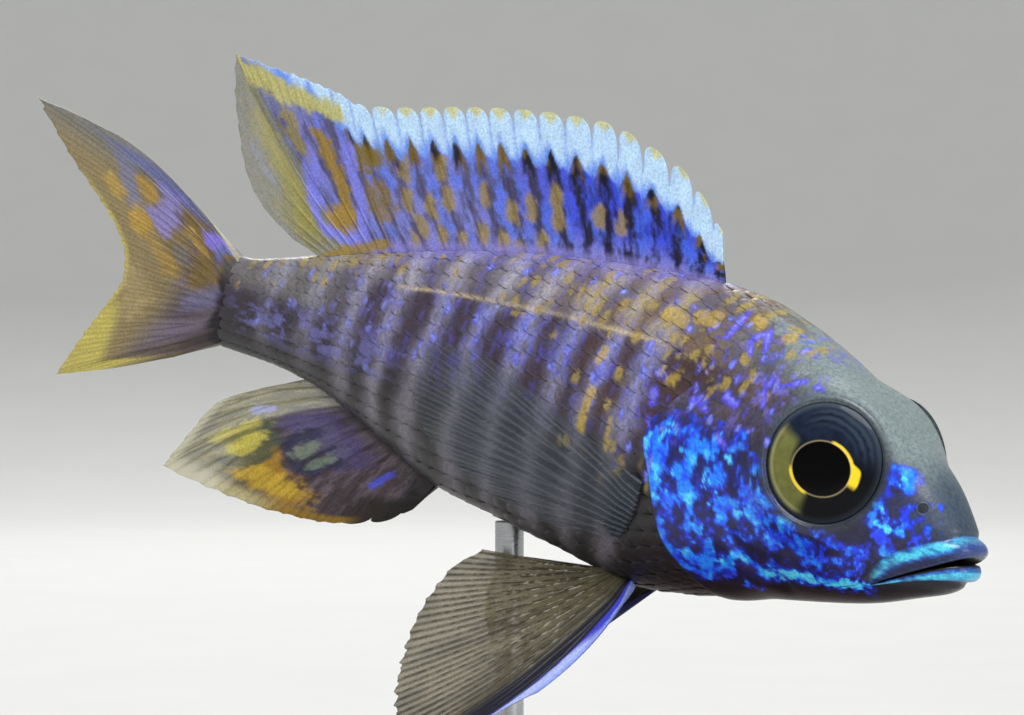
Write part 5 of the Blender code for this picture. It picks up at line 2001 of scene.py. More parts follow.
@dataclass
class DorsalFin(FinSheet):
    """Dorsal fin: sixteen spines with free rounded lappets, then ten soft rays drawn to a point."""

    name: str = "dorsal_fin"
    slot: str = "dorsal_membrane"
    rays: int = 26
    spines: int = 16
    bow: float = -0.04
    notch: float = 0.13
    notch_rays: int = 15
    deeper: float = 1.3
    root_gap: float = -0.14
    rows: int = 120
    roots: tuple = ((0, 36.7), (15, 76.0), (16, 78.2), (25, 87.9))
    tips: tuple = (
        (0, 38.2, 21.5), (1, 41.4, 24.3), (2, 44.7, 26.5), (3, 48.6, 27.8), (5, 55.6, 29.2),
        (7, 62.6, 28.8), (9, 69.2, 27.9), (11, 75.2, 26.8), (13, 81.4, 25.5), (15, 88.0, 24.6),
        (16, 90.8, 25.3), (18, 98.2, 26.1), (20, 107.5, 26.7), (21, 106.3, 22.6), (22, 104.4, 18.6),
        (23, 101.8, 14.2), (24, 98.0, 10.9), (25, 92.6, 8.4))
    pale_from: tuple = ((0, 0.25), (1, 0.38), (2, 0.52), (4, 0.58), (7, 0.62), (10, 0.65), (15, 0.68),
                        (16, 0.72), (17, 0.84), (19, 0.95), (25, 1.3))
    spots: tuple = ((4.4, 0.34), (5.3, 0.36), (7.1, 0.30), (7.0, 0.46), (8.2, 0.36), (9.1, 0.33),
                    (9.9, 0.12), (10.2, 0.44), (10.8, 0.16), (12.0, 0.42), (11.9, 0.10), (12.8, 0.14),
                    (12.9, 0.36), (13.7, 0.22), (13.9, 0.42), (13.6, 0.62), (14.4, 0.10), (8.1, 0.12),
                    (9.2, 0.04), (11.9, 0.62))
    marks: tuple = (
        Mark("#9A8338", ((15.3, 0.40), (15.6, 0.30)), 0.75, 0.09, 0.75),
        Mark("#8F7A2E", ((15.0, 0.66), (15.8, 0.60)), 0.55, 0.08, 0.9),
        Mark("#8E8C74", ((19.9, 0.95), (19.6, 0.45)), 0.6, 0.06, 0.85),
        Mark("#AFA658", ((20.6, 0.66), (20.9, 0.42), (22.4, 0.30)), 0.8, 0.14, 0.85, 1.6),
        Mark("#A8A05A", ((23.2, 0.50), (24.0, 0.34)), 0.8, 0.18, 0.6, 1.8),
        Mark("#9FA4B8", ((21.9, 0.80), (22.1, 0.66)), 0.2, 0.05, 0.7, 1.2),
        Mark("#9294F0", ((16.3, 0.66), (16.7, 0.35), (17.6, 0.13), (19.6, 0.08), (21.4, 0.17)), 0.35,
             0.05),
        Mark("#9294F0", ((21.4, 0.18), (20.6, 0.28), (19.4, 0.33), (18.6, 0.52)), 0.3, 0.05),
        Mark("#8A90C4", ((18.0, 0.82), (18.8, 0.78)), 0.5, 0.06, 0.7),
        Mark("#AC8E3A", ((17.6, 0.66), (17.5, 0.40), (18.0, 0.24)), 0.42, 0.06, 0.95),
        Mark("#B4943E", ((18.2, 0.22), (19.6, 0.17)), 0.55, 0.06, 0.95),
        Mark("#A89A48", ((18.7, 0.72), (18.8, 0.58)), 0.25, 0.06, 0.8),
        Mark("#D0CA84", ((16.4, 0.86), (18.0, 0.86), (19.6, 0.92)), 0.5, 0.06, 0.95, 0.8),
        Mark("#A88E40", ((16.2, 0.06), (19.0, 0.025), (24.0, 0.03)), 0.5, 0.03, 0.9))

    def edge_cut(self, ray: np.ndarray) -> np.ndarray:
        """Lobes about the spines, cut deeper between the first few."""
        return 1 - (1 - super().edge_cut(ray)) * (1 + self.deeper * ease((8 - ray) / 7))

    def root_place(self, ray: np.ndarray) -> np.ndarray:
        """(s, z) of the root of each ray."""
        s = Curve(self.roots)(ray)
        return np.stack([s, BODY.back(s) + self.root_gap], -1)

    def paint(self, ray: np.ndarray, share: np.ndarray, crest: np.ndarray
              ) -> tuple[np.ndarray, np.ndarray]:
        """Blue streaks with ochre spots, dark teeth on the spines, and a pale edge over them.

        Args:
            ray: ray numbers, from 0 at the front.
            share: shares of the way out, from 0 at the root.
            crest: 1 on a ray and 0 on the web.

        Returns:
            The colours, and how solid the sheet is.
        """
        fine, broad = self.grain(ray, share, 5.0, 12.0), self.grain(ray, share, 1.6, 4.0)
        front = ease((12 - ray) / 7)
        stripe = 0.5 + 0.5 * np.cos(2 * math.pi * (ray - 0.56 + 0.12 * share)) + (fine - 0.5) * 2.2
        blue = mix("#8C90DC", "#3450E8", front * ease(share / 0.3) * 0.9)
        blue = mix(blue, "#5A86F4", ease((broad - 0.52) * 8) * 0.5)
        dark = mix("#6A6690", "#262044", front)
        tint = mix(dark, blue, ease(stripe * 0.9 + 0.12))
        rear = ease((ray - 19.4) / 1.0)
        tint = mix(tint, "#979580", rear * 0.9)
        for at, height in self.spots:
            spot = Mark("#AC9658", ((at, height), (at + 0.1, height - 0.07)), 0.24, 0.055, 0.85, 1.0)
            tint = mix(tint, spot.colour, spot.cover(ray, share, (fine - 0.5) * 1.6))
        # Lilac along the fin's root, painted light that lifts the contact shadow where the fin meets the
        # back.
        tint = mix(tint, "#9A92DC", ease((0.10 - share) / 0.08) * (1 - rear) * 0.75)
        tooth = np.exp(-(((ray - np.round(ray) - 0.04) / 0.21) ** 2))
        edge = Curve(self.pale_from)(ray) + 0.12 * tooth * ease((17 - ray) / 2) + (fine - 0.5) * 0.08
        teeth = ease((share - edge + 0.17) / 0.06) * np.clip(tooth * 1.5, 0, 1) * ease((17 - ray) / 1.5)
        duo = mix("#17121E", "#8A7024", ease((broad - 0.44) * 7))
        tint = mix(tint, duo, teeth * 0.92)
        white = ease((share - edge) / 0.035 + 0.5)
        # Painted shade: each lappet's pale edge is bluer and darker towards one side, to round it.
        lobe = ease(np.abs(ray - np.round(ray) + 0.08) / 0.5 - 0.15)
        snow = mix("#7FAAFA", "#CDE8FF",
                   ease((share - edge) / 0.12 + (fine - 0.5) * 1.4 - 0.5 * lobe + 0.2))
        tint = mix(tint, snow, white)
        off = np.abs(ray - np.round(ray) + 0.04)
        tip = ease((share - 0.90 - 0.22 * off + (fine - 0.5) * 0.05) / 0.05) * ease((15 - ray) / 2)
        between = ease((off - 0.36) / 0.12) * ease((share - 0.72) / 0.1)
        tint = mix(tint, "#7C9CE8", between * white * 0.5)
        tint = mix(tint, "#D9D49A", tip * 0.9)
        tint = self.mark(tint, ray, share)
        seam = crest * (1 - white) * (1 - rear)
        tint = tint * (1 - 0.22 * seam)[..., None] * (0.88 + 0.24 * fine)[..., None]
        solid = 0.97 - 0.5 * rear * ease((share - 0.2) / 0.5) - 0.12 * white
        return tint, np.clip(solid, 0, 1)


@dataclass
class AnalFin(FinSheet):
    """Anal fin: three spines and eight soft rays drawn out to a point, with egg spots."""

    name: str = "anal_fin"
    slot: str = "anal_membrane"
    rays: int = 11
    spines: int = 3
    bow: float = 0.05
    notch: float = 0.12
    notch_rays: int = 2
    root_gap: float = 0.14
    per_gap: int = 28
    seed: int = 91
    roots: tuple = ((0, 65.6), (10, 86.0))
    tips: tuple = (
        (0, 68.3, -15.6), (1, 71.6, -17.8), (2, 76.2, -19.4), (3, 80.4, -20.4), (4, 85.4, -20.9),
        (5, 90.6, -21.2), (6, 97.2, -21.1), (7, 104.5, -20.6), (8, 101.8, -16.2), (9, 98.4, -11.6),
        (10, 92.4, -8.4))
    marks: tuple = (
        Mark("#5A5088", ((4.0, 0.30), (6.4, 0.22)), 0.8, 0.14, 0.75, 1.2),
        Mark("#6A6488", ((4.4, 0.34), (6.0, 0.26)), 0.5, 0.08, 0.7, 1.0),
        Mark("#B98F2A", ((4.3, 0.84), (5.4, 0.74), (5.9, 0.62)), 0.7, 0.10, 0.9, 0.9),
        Mark("#D6B844", ((4.8, 0.80), (5.6, 0.76)), 0.8, 0.07, 0.8, 1.0),
        Mark("#3A3A58", ((4.2, 0.40), (4.4, 0.56), (5.0, 0.60), (5.7, 0.48), (5.8, 0.30)), 0.30, 0.045,
             0.85, 0.6),
        Mark("#7F8E7E", ((4.6, 0.50), (4.5, 0.42)), 0.22, 0.07, 0.85),
        Mark("#8A9686", ((5.25, 0.48), (5.3, 0.40)), 0.26, 0.07, 0.9),
        Mark("#34364E", ((4.95, 0.54), (4.85, 0.32)), 0.09, 0.04, 0.8),
        Mark("#566050", ((6.2, 0.78), (5.9, 0.62), (6.4, 0.47), (7.0, 0.42)), 0.26, 0.04, 0.85),
        Mark("#D2C860", ((6.35, 0.66), (6.5, 0.56)), 0.2, 0.09, 0.95),
        Mark("#D6CC6A", ((7.0, 0.66), (7.0, 0.50)), 0.38, 0.08, 0.95),
        Mark("#6A7048", ((6.65, 0.70), (6.7, 0.48)), 0.07, 0.04, 0.8),
        Mark("#5A62E0", ((2.1, 0.28), (2.3, 0.44)), 0.2, 0.07, 0.9),
        Mark("#B4BAEC", ((7.7, 0.40), (7.95, 0.50)), 0.2, 0.04, 0.85))

    def root_place(self, ray: np.ndarray) -> np.ndarray:
        """(s, z) of the root of each ray."""
        s = Curve(self.roots)(ray)
        return np.stack([s, BODY.belly(s) + self.root_gap], -1)

    def paint(self, ray: np.ndarray, share: np.ndarray, crest: np.ndarray
              ) -> tuple[np.ndarray, np.ndarray]:
        """Dark in front, violet-brown at the base, gold below and smoky olive behind.

        Args:
            ray: ray numbers, from 0 at the front.
            share: shares of the way out, from 0 at the root.
            crest: 1 on a ray and 0 on the web.

        Returns:
            The colours, and how solid the sheet is.
        """
        fine = self.grain(ray, share, 5.0, 6.0)
        tint = mix("#54464C", "#6E626C", ease((fine - 0.4) * 4))
        tint = mix(tint, "#2E2622", ease((3.6 - ray) / 2.2) * ease((share - 0.5) / 0.2))
        tint = mix(tint, "#1E191A", ease((1.5 - ray) / 0.8) * 0.9)
        gold = ease((share - 0.88) / 0.06) * ease((ray - 1.6) / 0.8) * ease((7.2 - ray) / 1.2)
        tint = mix(tint, "#A88428", gold * 0.85)
        olive = ease((ray - 6.5 + 1.1 * ease((share - 0.55) / 0.25)) / 0.9)
        tint = mix(tint, mix("#8E8A72", "#A39D7C", ease((fine - 0.4) * 4)),
                   olive)
        tint = self.mark(tint, ray, share)
        pale = ease((share - 0.84) / 0.12) * ease((ray - 4.0) / 1.2)
        tint = mix(tint, "#CBC490", pale * 0.8)
        tint = mix(tint, "#30262E", ease((0.10 - share) / 0.08) * 0.85)
        tint = tint * (1 - 0.25 * crest)[..., None] * (0.85 + 0.3 * fine)[..., None]
        solid = 0.95 - 0.5 * olive - 0.3 * pale
        solid = solid + 0.3 * crest * olive
        return tint, np.clip(solid, 0.3, 1)


@dataclass
class TailFin(FinSheet):
    """Tail fin: sixteen branched rays in a shallow fork, swept to the right."""

    name: str = "tail_fin"
    slot: str = "tail_membrane"
    rays: int = 16
    spines: int = 0
    root_reach: float = 7.0
    fit: float = 0.97
    branch_from: float = 0.15
    seed: int = 101
    top: float = 4.5
    low: float = -4.9
    sweep: float = 7.0
    twist: float = 7.0 / 15.0
    span: float = 30.0
    per_gap: int = 24
    tips: tuple = (
        (0, 107.0, 8.8), (1, 118.0, 14.5), (2, 126.0, 16.6), (3, 124.3, 13.0), (4, 122.0, 9.6),
        (5, 119.4, 6.6), (6, 117.2, 3.9), (7, 115.9, 1.4), (8, 115.7, -1.0), (9, 116.6, -3.3),
        (10, 118.4, -5.9), (11, 120.6, -8.9), (12, 123.2, -12.2), (13, 125.9, -15.2),
        (14, 116.5, -12.3), (15, 106.5, -8.4))
    marks: tuple = (
        Mark("#8C7644", ((1.2, 0.34), (2.6, 0.26), (5.0, 0.20), (7.0, 0.36)), 1.3, 0.09, 0.95, 1.1),
        Mark("#9A8244", ((4.2, 0.42), (6.4, 0.56)), 0.8, 0.08, 0.8, 1.1),
        Mark("#9C8040", ((1.0, 0.05), (3.0, 0.06), (5.4, 0.10)), 0.9, 0.04, 0.85, 0.9),
        Mark("#8A86B0", ((7.0, 0.06), (8.2, 0.18), (8.6, 0.34)), 1.0, 0.09, 0.7, 1.2),
        Mark("#7C84C8", ((0.0, 0.10), (1.2, 0.13), (2.9, 0.12)), 0.4, 0.035, 0.9),
        Mark("#9B8CEC", ((0.3, 0.22), (1.4, 0.19), (2.6, 0.20)), 0.4, 0.05, 0.95),
        Mark("#A39AD6", ((1.2, 0.52), (2.1, 0.43), (3.1, 0.46), (4.3, 0.58)), 0.6, 0.05, 0.9),
        Mark("#9094BA", ((1.6, 0.68), (2.8, 0.66), (4.2, 0.72)), 0.5, 0.05, 0.7, 0.8),
        Mark("#85848A", ((5.2, 0.42), (5.6, 0.50)), 0.7, 0.04, 0.6, 0.9),
        Mark("#BE9E56", ((2.5, 0.55), (2.9, 0.58)), 0.42, 0.045, 0.95),
        Mark("#C8AA5C", ((3.6, 0.78), (4.0, 0.81)), 0.45, 0.045, 0.9),
        Mark("#CCAA54", ((4.5, 0.68), (5.3, 0.78)), 0.45, 0.055, 0.95),
        Mark("#B89A58", ((3.3, 0.30), (3.7, 0.27)), 0.5, 0.06, 0.8),
        Mark("#C0A05A", ((6.0, 0.66), (6.7, 0.60)), 0.7, 0.07, 0.7, 0.9),
        Mark("#C2AE7E", ((8.3, 0.90), (9.6, 0.74)), 0.9, 0.08, 0.7, 1.0))

    def root_place(self, ray: np.ndarray) -> np.ndarray:
        """(s, z) of the root of each ray."""
        z = self.top + (self.low - self.top) * ray / (self.rays - 1)
        return np.stack([np.full(ray.shape, BODY.stalk_end - 0.4), z], -1)

    def lay(self, flat: np.ndarray, ray: np.ndarray, share: np.ndarray
            ) -> tuple[np.ndarray, np.ndarray]:
        """Sweeps the sheet to the right, the upper lobe more than the lower.

        Args:
            flat: the sheet's points (s, z) before it is laid on the fish.
            ray: ray numbers, from 0 at the front.
            share: shares of the way out, from 0 at the root.

        Returns:
            The laid points, and the directions the sheet faces there.
        """
        s, z = flat[..., 0], flat[..., 1]
        out = np.clip((s - BODY.stalk_end - GAP) / self.span, 0, None)
        lean = self.sweep + self.twist * z
        points = np.stack([s, -(out ** 2) * lean, z], -1)
        return points, np.stack([2 * out / self.span * lean, np.ones(s.shape), out ** 2 * self.twist], -1)

    def root_thickness(self, flat: np.ndarray) -> np.ndarray:
        """Half thickness at the roots of the rays, which follows the stalk's own section."""
        return np.maximum(self.fit * BODY.flank(np.full(flat.shape[1], BODY.stalk_end), flat[0, :, 1]), 0.2)

    def paint(self, ray: np.ndarray, share: np.ndarray, crest: np.ndarray
              ) -> tuple[np.ndarray, np.ndarray]:
        """Grey and tan above with violet and gold spots, grey-violet inside, clear yellow behind.

        Args:
            ray: ray numbers, from 0 at the front.
            share: shares of the way out, from 0 at the root.
            crest: 1 on a ray and 0 on the web.

        Returns:
            The colours, and how solid the sheet is.
        """
        fine = self.grain(ray, share, 5.0, 6.0)
        broad = self.grain(ray, share, 0.8, 3.0)
        inner = mix("#6E626C", "#85798A", ease((broad - 0.35) * 3))
        tan = mix("#A2926A", "#8F8D84", ease((3.4 - ray) / 1.6))
        tint = mix(inner, tan, ease((share - 0.38) / 0.3))
        yellow = ease((share - 0.80 + 0.06 * (ray - 10)) / 0.10) * ease((ray - 9.0) / 1.0)
        yellow = np.maximum(yellow, ease((share - 0.93) / 0.05) * ease((ray - 3.5) / 2))
        tint = mix(tint, "#D8CB6E", yellow * ease((14.4 - ray) / 0.8) * 0.95)
        brown = ease((ray - 12.0) / 1.0) * ease((0.62 - share) / 0.25)
        tint = mix(tint, "#6E5C3E", brown * 0.6)
        low = ease((ray - 10.5) / 3.5) * ease((0.40 - share) / 0.3)
        tint = mix(tint, "#3E343C", low * 0.9)
        tint = mix(tint, "#5A4F40", ease((ray - 14.2) / 0.6) * 0.7)
        tint = self.mark(tint, ray, share)
        tint = mix(tint, "#6F76B4", band(ray, 0.5, 1.6, 0.6) * band(share, 0.3, 0.85, 0.2) * 0.7)
        place = self.root_place(ray)
        stalk, _ = MARKS.skin(np.stack([place[..., 0] + share * 20, ray * 0 - 1.5, place[..., 1]], -1))
        tint = mix(tint, stalk, ease((0.13 - share + (broad - 0.5) * 0.14) / 0.10))
        tint = mix(tint, "#D6D2B4", ease((0.45 - ray) / 0.3) * 0.85)
        tint = tint * (1 - 0.20 * crest)[..., None] * (0.86 + 0.28 * fine)[..., None]
        solid = 0.97 - 0.16 * ease((share - 0.5) / 0.4)
        return tint, np.clip(solid, 0, 1)


@dataclass
class PelvicFin(FinSheet):
    """Pelvic fin: one spine and branched rays behind it, splayed out from the belly."""

    side: Side = Side.RIGHT
    slot: str = "paired_membrane"
    rays: int = 10
    spines: int = 1
    rows: int = 120
    per_gap: int = 40
    frill: float = 0.014
    branch_from: float = 0.05
    ray_half: float = 0.2
    ray_width: float = 0.13
    seed: int = 111
    roots: tuple = ((0, 36.9), (9, 40.9))
    root_y: float = 2.6
    splay: float = 0.75
    lead_bow: float = -0.09
    tips: tuple = (
        (0, 39.0, -26.4), (1, 46.8, -34.4), (2, 49.8, -34.8), (3, 52.2, -33.2), (4, 54.2, -31.0),
        (5, 55.8, -28.4), (6, 57.2, -25.4), (7, 57.8, -22.3), (8, 57.6, -19.3), (9, 55.4, -16.3))
    folded_tips: tuple = (
        (0, 49.0, -26.0), (1, 56.6, -29.4), (2, 57.8, -28.6), (3, 58.8, -27.4), (4, 59.5, -25.9),
        (5, 59.9, -24.2), (6, 59.9, -22.4), (7, 59.4, -20.6), (8, 58.2, -18.8), (9, 55.0, -16.9))

    def __post_init__(self) -> None:
        """Takes the name of its node, and the folded stance of the left fin."""
        self.name = f"pelvic_fin_{self.side.word}"
        if self.side is Side.LEFT:
            self.tips, self.splay, self.lead_bow = self.folded_tips, 0.25, 0.0

    def bow_at(self, along: np.ndarray) -> np.ndarray:
        """Bow of the leading rays."""
        return self.lead_bow * (1 - along) ** 1.5

    def root_place(self, ray: np.ndarray) -> np.ndarray:
        """(s, z) of the root of each ray."""
        s = Curve(self.roots)(ray)
        return np.stack([s, BODY.underside(s, self.root_y) - 0.1], -1)

    def lay(self, flat: np.ndarray, ray: np.ndarray, share: np.ndarray
            ) -> tuple[np.ndarray, np.ndarray]:
        """Splays the sheet out from the belly.

        Args:
            flat: the sheet's points (s, z) before it is laid on the fish.
            ray: ray numbers, from 0 at the front.
            share: shares of the way out, from 0 at the root.

        Returns:
            The laid points, and the directions the sheet faces there.
        """
        s, z = flat[..., 0], flat[..., 1]
        y = self.root_y - self.splay * (z - flat[0, :, 1])
        points = np.stack([s, self.side.value * y, z], -1)
        return points, np.broadcast_to(np.array([0.0, self.side.value, self.splay]), points.shape)

    def paint(self, ray: np.ndarray, share: np.ndarray, crest: np.ndarray
              ) -> tuple[np.ndarray, np.ndarray]:
        """Beige clear web with dark beaded rays, painted glints, a blue-black band and a blue-white leading
        edge.

        Args:
            ray: ray numbers, from 0 at the front.
            share: shares of the way out, from 0 at the root.
            crest: 1 on a ray and 0 on the web.

        Returns:
            The colours, and how solid the sheet is.
        """
        fine = self.grain(ray, share, 9.0, 40.0)
        broad = self.grain(ray, share, 1.2, 4.0)
        web = mix("#6C644E", "#8C846C", ease((broad - 0.35) * 4))
        inner = ease((0.42 - share + (broad - 0.5) * 0.4) / 0.25)
        web = mix(web, "#5E583C", inner * 0.8)
        bead = ease((fine - 0.42) * 7)
        bone = mix("#2E281E", "#5A503C", bead)
        tint = mix(web, bone, np.clip(crest * 1.1, 0, 1) * (0.9 - 0.3 * bead))
        # Painted highlights: whitish glints on the ray crests near the root.
        shine = crest * ease((fine - 0.62) * 12) * band(share, 0.08, 0.5, 0.2)
        tint = mix(tint, "#C9C7BC", shine * 0.8)
        dusk = ease((3.4 - ray + (broad - 0.5) * 2) / 2.4) * ease((0.9 - share) / 0.4)
        tint = mix(tint, "#38332C", dusk * 0.8)
        night = ease((1.9 - ray) / 0.7)
        tint = mix(tint, "#15152C", night * 0.95)
        lead = ray + 0.12 * (fine - 0.5)
        blue = ease((0.62 - lead) / 0.2)
        tint = mix(tint, "#4A4EE0", blue * 0.9)
        tint = mix(tint, "#C4D2FF", ease((0.55 - lead) / 0.18) * ease((share - 0.30) / 0.2))
        tint = mix(tint, "#9FB6FF", ease((0.16 - lead) / 0.1) * 0.8)
        solid = 0.52 + 0.4 * crest + 0.35 * inner + 0.6 * night + 0.3 * dusk
        # Painted shade: the far, left fin is darkened all over, and made more solid.
        if self.side is Side.LEFT:
            tint, solid = tint * 0.35, solid + 0.3
        return tint, np.clip(solid, 0, 1)


@dataclass
class PectoralFin(FinSheet):
    """Pectoral fin: a clear smoky sheet held back along the flank."""

    side: Side = Side.RIGHT
    slot: str = "paired_membrane"
    rays: int = 12
    spines: int = 1
    per_gap: int = 24
    bow: float = 0.02
    branch_from: float = 0.2
    frill: float = 0.02
    root_half: float = 0.45
    root_reach: float = 4.0
    ray_half: float = 0.12
    web_half: float = 0.06
    ray_width: float = 0.12
    seed: int = 121
    roots: tuple = ((0, 34.6, -3.7), (1, 34.7, -4.8), (4, 35.0, -6.5), (8, 35.9, -8.5),
                    (11, 36.9, -9.9))
    tips: tuple = (
        (0, 45.4, 0.8), (1, 51.5, 2.9), (2, 56.8, 4.4), (3, 60.9, 4.3), (4, 62.4, 2.1),
        (5, 62.6, -0.3), (6, 61.8, -2.7), (7, 60.0, -5.0), (8, 57.0, -7.0), (9, 52.8, -8.6),
        (10, 48.0, -9.8), (11, 43.0, -10.6))
    out: float = 8.9
    free_from: float = 9.0
    off_flank: float = 0.85
    root_reach_in: float = 2.0
    root_in: float = 0.75
    spread: float = 0.16

    def __post_init__(self) -> None:
        """Takes the name of its node, and the wider spread of the left fin."""
        self.name = f"pectoral_fin_{self.side.word}"
        if self.side is Side.LEFT:
            self.spread = 0.30

    def root_place(self, ray: np.ndarray) -> np.ndarray:
        """(s, z) of the root of each ray."""
        return np.stack([Curve(self.roots, 1)(ray), Curve(self.roots, 2)(ray)], -1)

    def lay(self, flat: np.ndarray, ray: np.ndarray, share: np.ndarray
            ) -> tuple[np.ndarray, np.ndarray]:
        """Holds the sheet back along the flank, a little off it.

        Args:
            flat: the sheet's points (s, z) before it is laid on the fish.
            ray: ray numbers, from 0 at the front.
            share: shares of the way out, from 0 at the root.

        Returns:
            The laid points, and the directions the sheet faces there.
        """
        s, z = flat[..., 0], flat[..., 1]
        near = BODY.flank(s, z) + self.off_flank
        free = self.out + self.spread * (s - self.roots[0][1])
        reach = np.linalg.norm(flat - flat[:1], axis=-1)
        away = ease(reach / self.free_from)
        y = np.maximum(near, near * (1 - away) + free * away)
        y = y - self.root_in * ease(1 - reach / self.root_reach_in)
        points = np.stack([s, self.side.value * y, z], -1)
        return points, np.broadcast_to(np.array([-self.spread, self.side.value, 0.0]), points.shape)

    def paint(self, ray: np.ndarray, share: np.ndarray, crest: np.ndarray
              ) -> tuple[np.ndarray, np.ndarray]:
        """Smoky clear web with fine rays, whitish at the fleshy root.

        Args:
            ray: ray numbers, from 0 at the front.
            share: shares of the way out, from 0 at the root.
            crest: 1 on a ray and 0 on the web.

        Returns:
            The colours, and how solid the sheet is.
        """
        fine = self.grain(ray, share, 6.0, 10.0)
        tint = mix("#454D59", "#7C868F", crest * 0.6)
        root = ease((0.20 - share) / 0.16)
        tint = mix(tint, "#5F6B76", root * ease(crest + fine - 0.6) * 0.8)
        tint = mix(tint, "#2A2C3A", root * (1 - crest) * 0.6)
        solid = 0.13 + 0.13 * crest + 0.45 * root - 0.05 * ease((share - 0.7) / 0.3)
        return tint, np.clip(solid, 0, 0.97)


@dataclass
class Eye:
    """Eyeball with its iris and bulging pupil, seated in the orbit."""

    side: Side
    radius: float = 5.72
    segments: int = 180
    rings: int = 90
    profile: tuple = ((5.72, 0.0), (5.4, 0.15), (4.7, 0.36), (3.7, 0.6), (2.4, 0.82), (0.0, 0.95))
    back: tuple = ((-0.5, 5.5), (-1.4, 4.7), (-2.6, 2.6))
    back_shade_tone: float = 0.005
    sunk: float = 0.02
    pupil: tuple = (2.95, 2.6)
    pupil_drop: float = 0.6
    iris: str = "#06070B"
    iris_above: str = "#1A2436"
    folds: str = "#3A4552"
    crescent: str = "#787A42"
    crescent_edge: str = "#A3A276"
    crescent_at: float = math.radians(205)
    gold: str = "#F6D22A"
    gold_at: float = math.radians(32)
    wedge_at: float = math.radians(-3)
    rear_gold_at: float = math.radians(222)
    pupil_rim: str = "#C9B98A"
    pupil_black: str = "#000001"
    edge_below: str = "#20272F"
    edge_above: str = "#414B57"

    def build(self, material: bpy.types.Material) -> bpy.types.Object:
        """Builds the eye in place of its node and dresses it.

        Args:
            material: the finish.

        Returns:
            The piece.
        """
        centre, out, ahead, up = ORBIT.axes(self.side)
        height = Curve(self.profile[::-1])
        radius = np.linspace(0, self.radius, self.rings)
        turn = np.linspace(0, 2 * math.pi, self.segments, endpoint=False)
        rr, tt = np.meshgrid(radius, turn, indexing="ij")
        level = height(rr) - self.sunk
        x, y = rr * np.cos(tt), rr * np.sin(tt)
        local = [np.stack([x, y, level], -1).reshape(-1, 3)]
        local += [np.stack([np.cos(turn) * size, np.sin(turn) * size, np.full(turn.shape, depth)], -1)
                  for depth, size in self.back]
        points = centre + np.concatenate(local) @ np.stack([ahead, up, out])
        # Painted shade: the eyeball's back, seen only in the socket, is made near black.
        socket_shade = np.full((len(points) - x.size, 3), self.back_shade_tone)
        tint = np.concatenate([self.paint(x, y).reshape(-1, 3), socket_shade])
        quads = grid_quads(self.rings + len(self.back), self.segments, closed=True)
        if self.side is Side.RIGHT:
            quads = quads[:, ::-1]
        eye = build_mesh(f"eye_{self.side.word}", points, quads, tint)
        dress(eye, material, "eye_glass", f"eye_{self.side.word}")
        return eye

    def paint(self, x: np.ndarray, y: np.ndarray) -> np.ndarray:
        """Colours over the eye: x forwards and y up from its centre, in millimetres.

        Args:
            x: places forwards of the centre, in millimetres.
            y: places up from the centre, in millimetres.

        Returns:
            The colours.
        """
        here = np.stack([x, y, x * 0 + 5], -1)
        grain = Noise(121).layered(here, 0.6)
        radius, turn = np.hypot(x, y), np.arctan2(y, x)
        low = y + self.pupil_drop
        around = np.arctan2(low, x)
        pupil = np.hypot(x / self.pupil[0], low / self.pupil[1]) * (1 - 0.05 * np.cos(around - 0.1))
        tint = mix(self.iris, self.iris_above, ease((y + 1) / 4) * (0.4 + grain))
        fold = 0.5 + 0.5 * np.sin(radius * 9.0 + 3 * grain)
        above = ease((y - 0.2) / 3) * ease((x + 3.4) / 3)
        tint = mix(tint, self.folds, fold * above * ease((radius - 3.0) / 1.2) * 0.7)
        olive = band(radius, 3.0, 5.45, 0.7) * ease((np.cos(turn - self.crescent_at) - 0.50) * 4)
        tint = mix(tint, self.crescent, olive * (0.5 + 0.5 * grain))
        tint = mix(tint, self.crescent_edge, olive * band(radius, 5.0, 5.4, 0.3) * 0.5)
        wide = 1.09 + 0.20 * ease((np.cos(around - self.wedge_at) - 0.90) * 12)
        gold = band(pupil, 0.99, wide, 0.07) * ease((np.cos(around - self.gold_at) - 0.62) * 7)
        rear = band(pupil, 0.99, 1.10, 0.07) * ease((np.cos(around - self.rear_gold_at) - 0.80) * 8)
        gold = np.maximum(gold, rear)
        tint = mix(tint, self.gold, np.clip(gold * (0.6 + 0.9 * grain), 0, 1))
        rim = band(pupil, 0.985, 1.035, 0.04)
        tint = mix(tint, self.pupil_rim, rim * 0.4)
        tint = mix(tint, self.pupil_black, ease((1.0 - pupil) / 0.04))
        edge = ease((radius - 5.0) / 0.7)
        skin = mix(self.edge_below, self.edge_above, ease((y + 1) / 6))
        return mix(tint, skin, edge * (1 - 0.6 * olive))


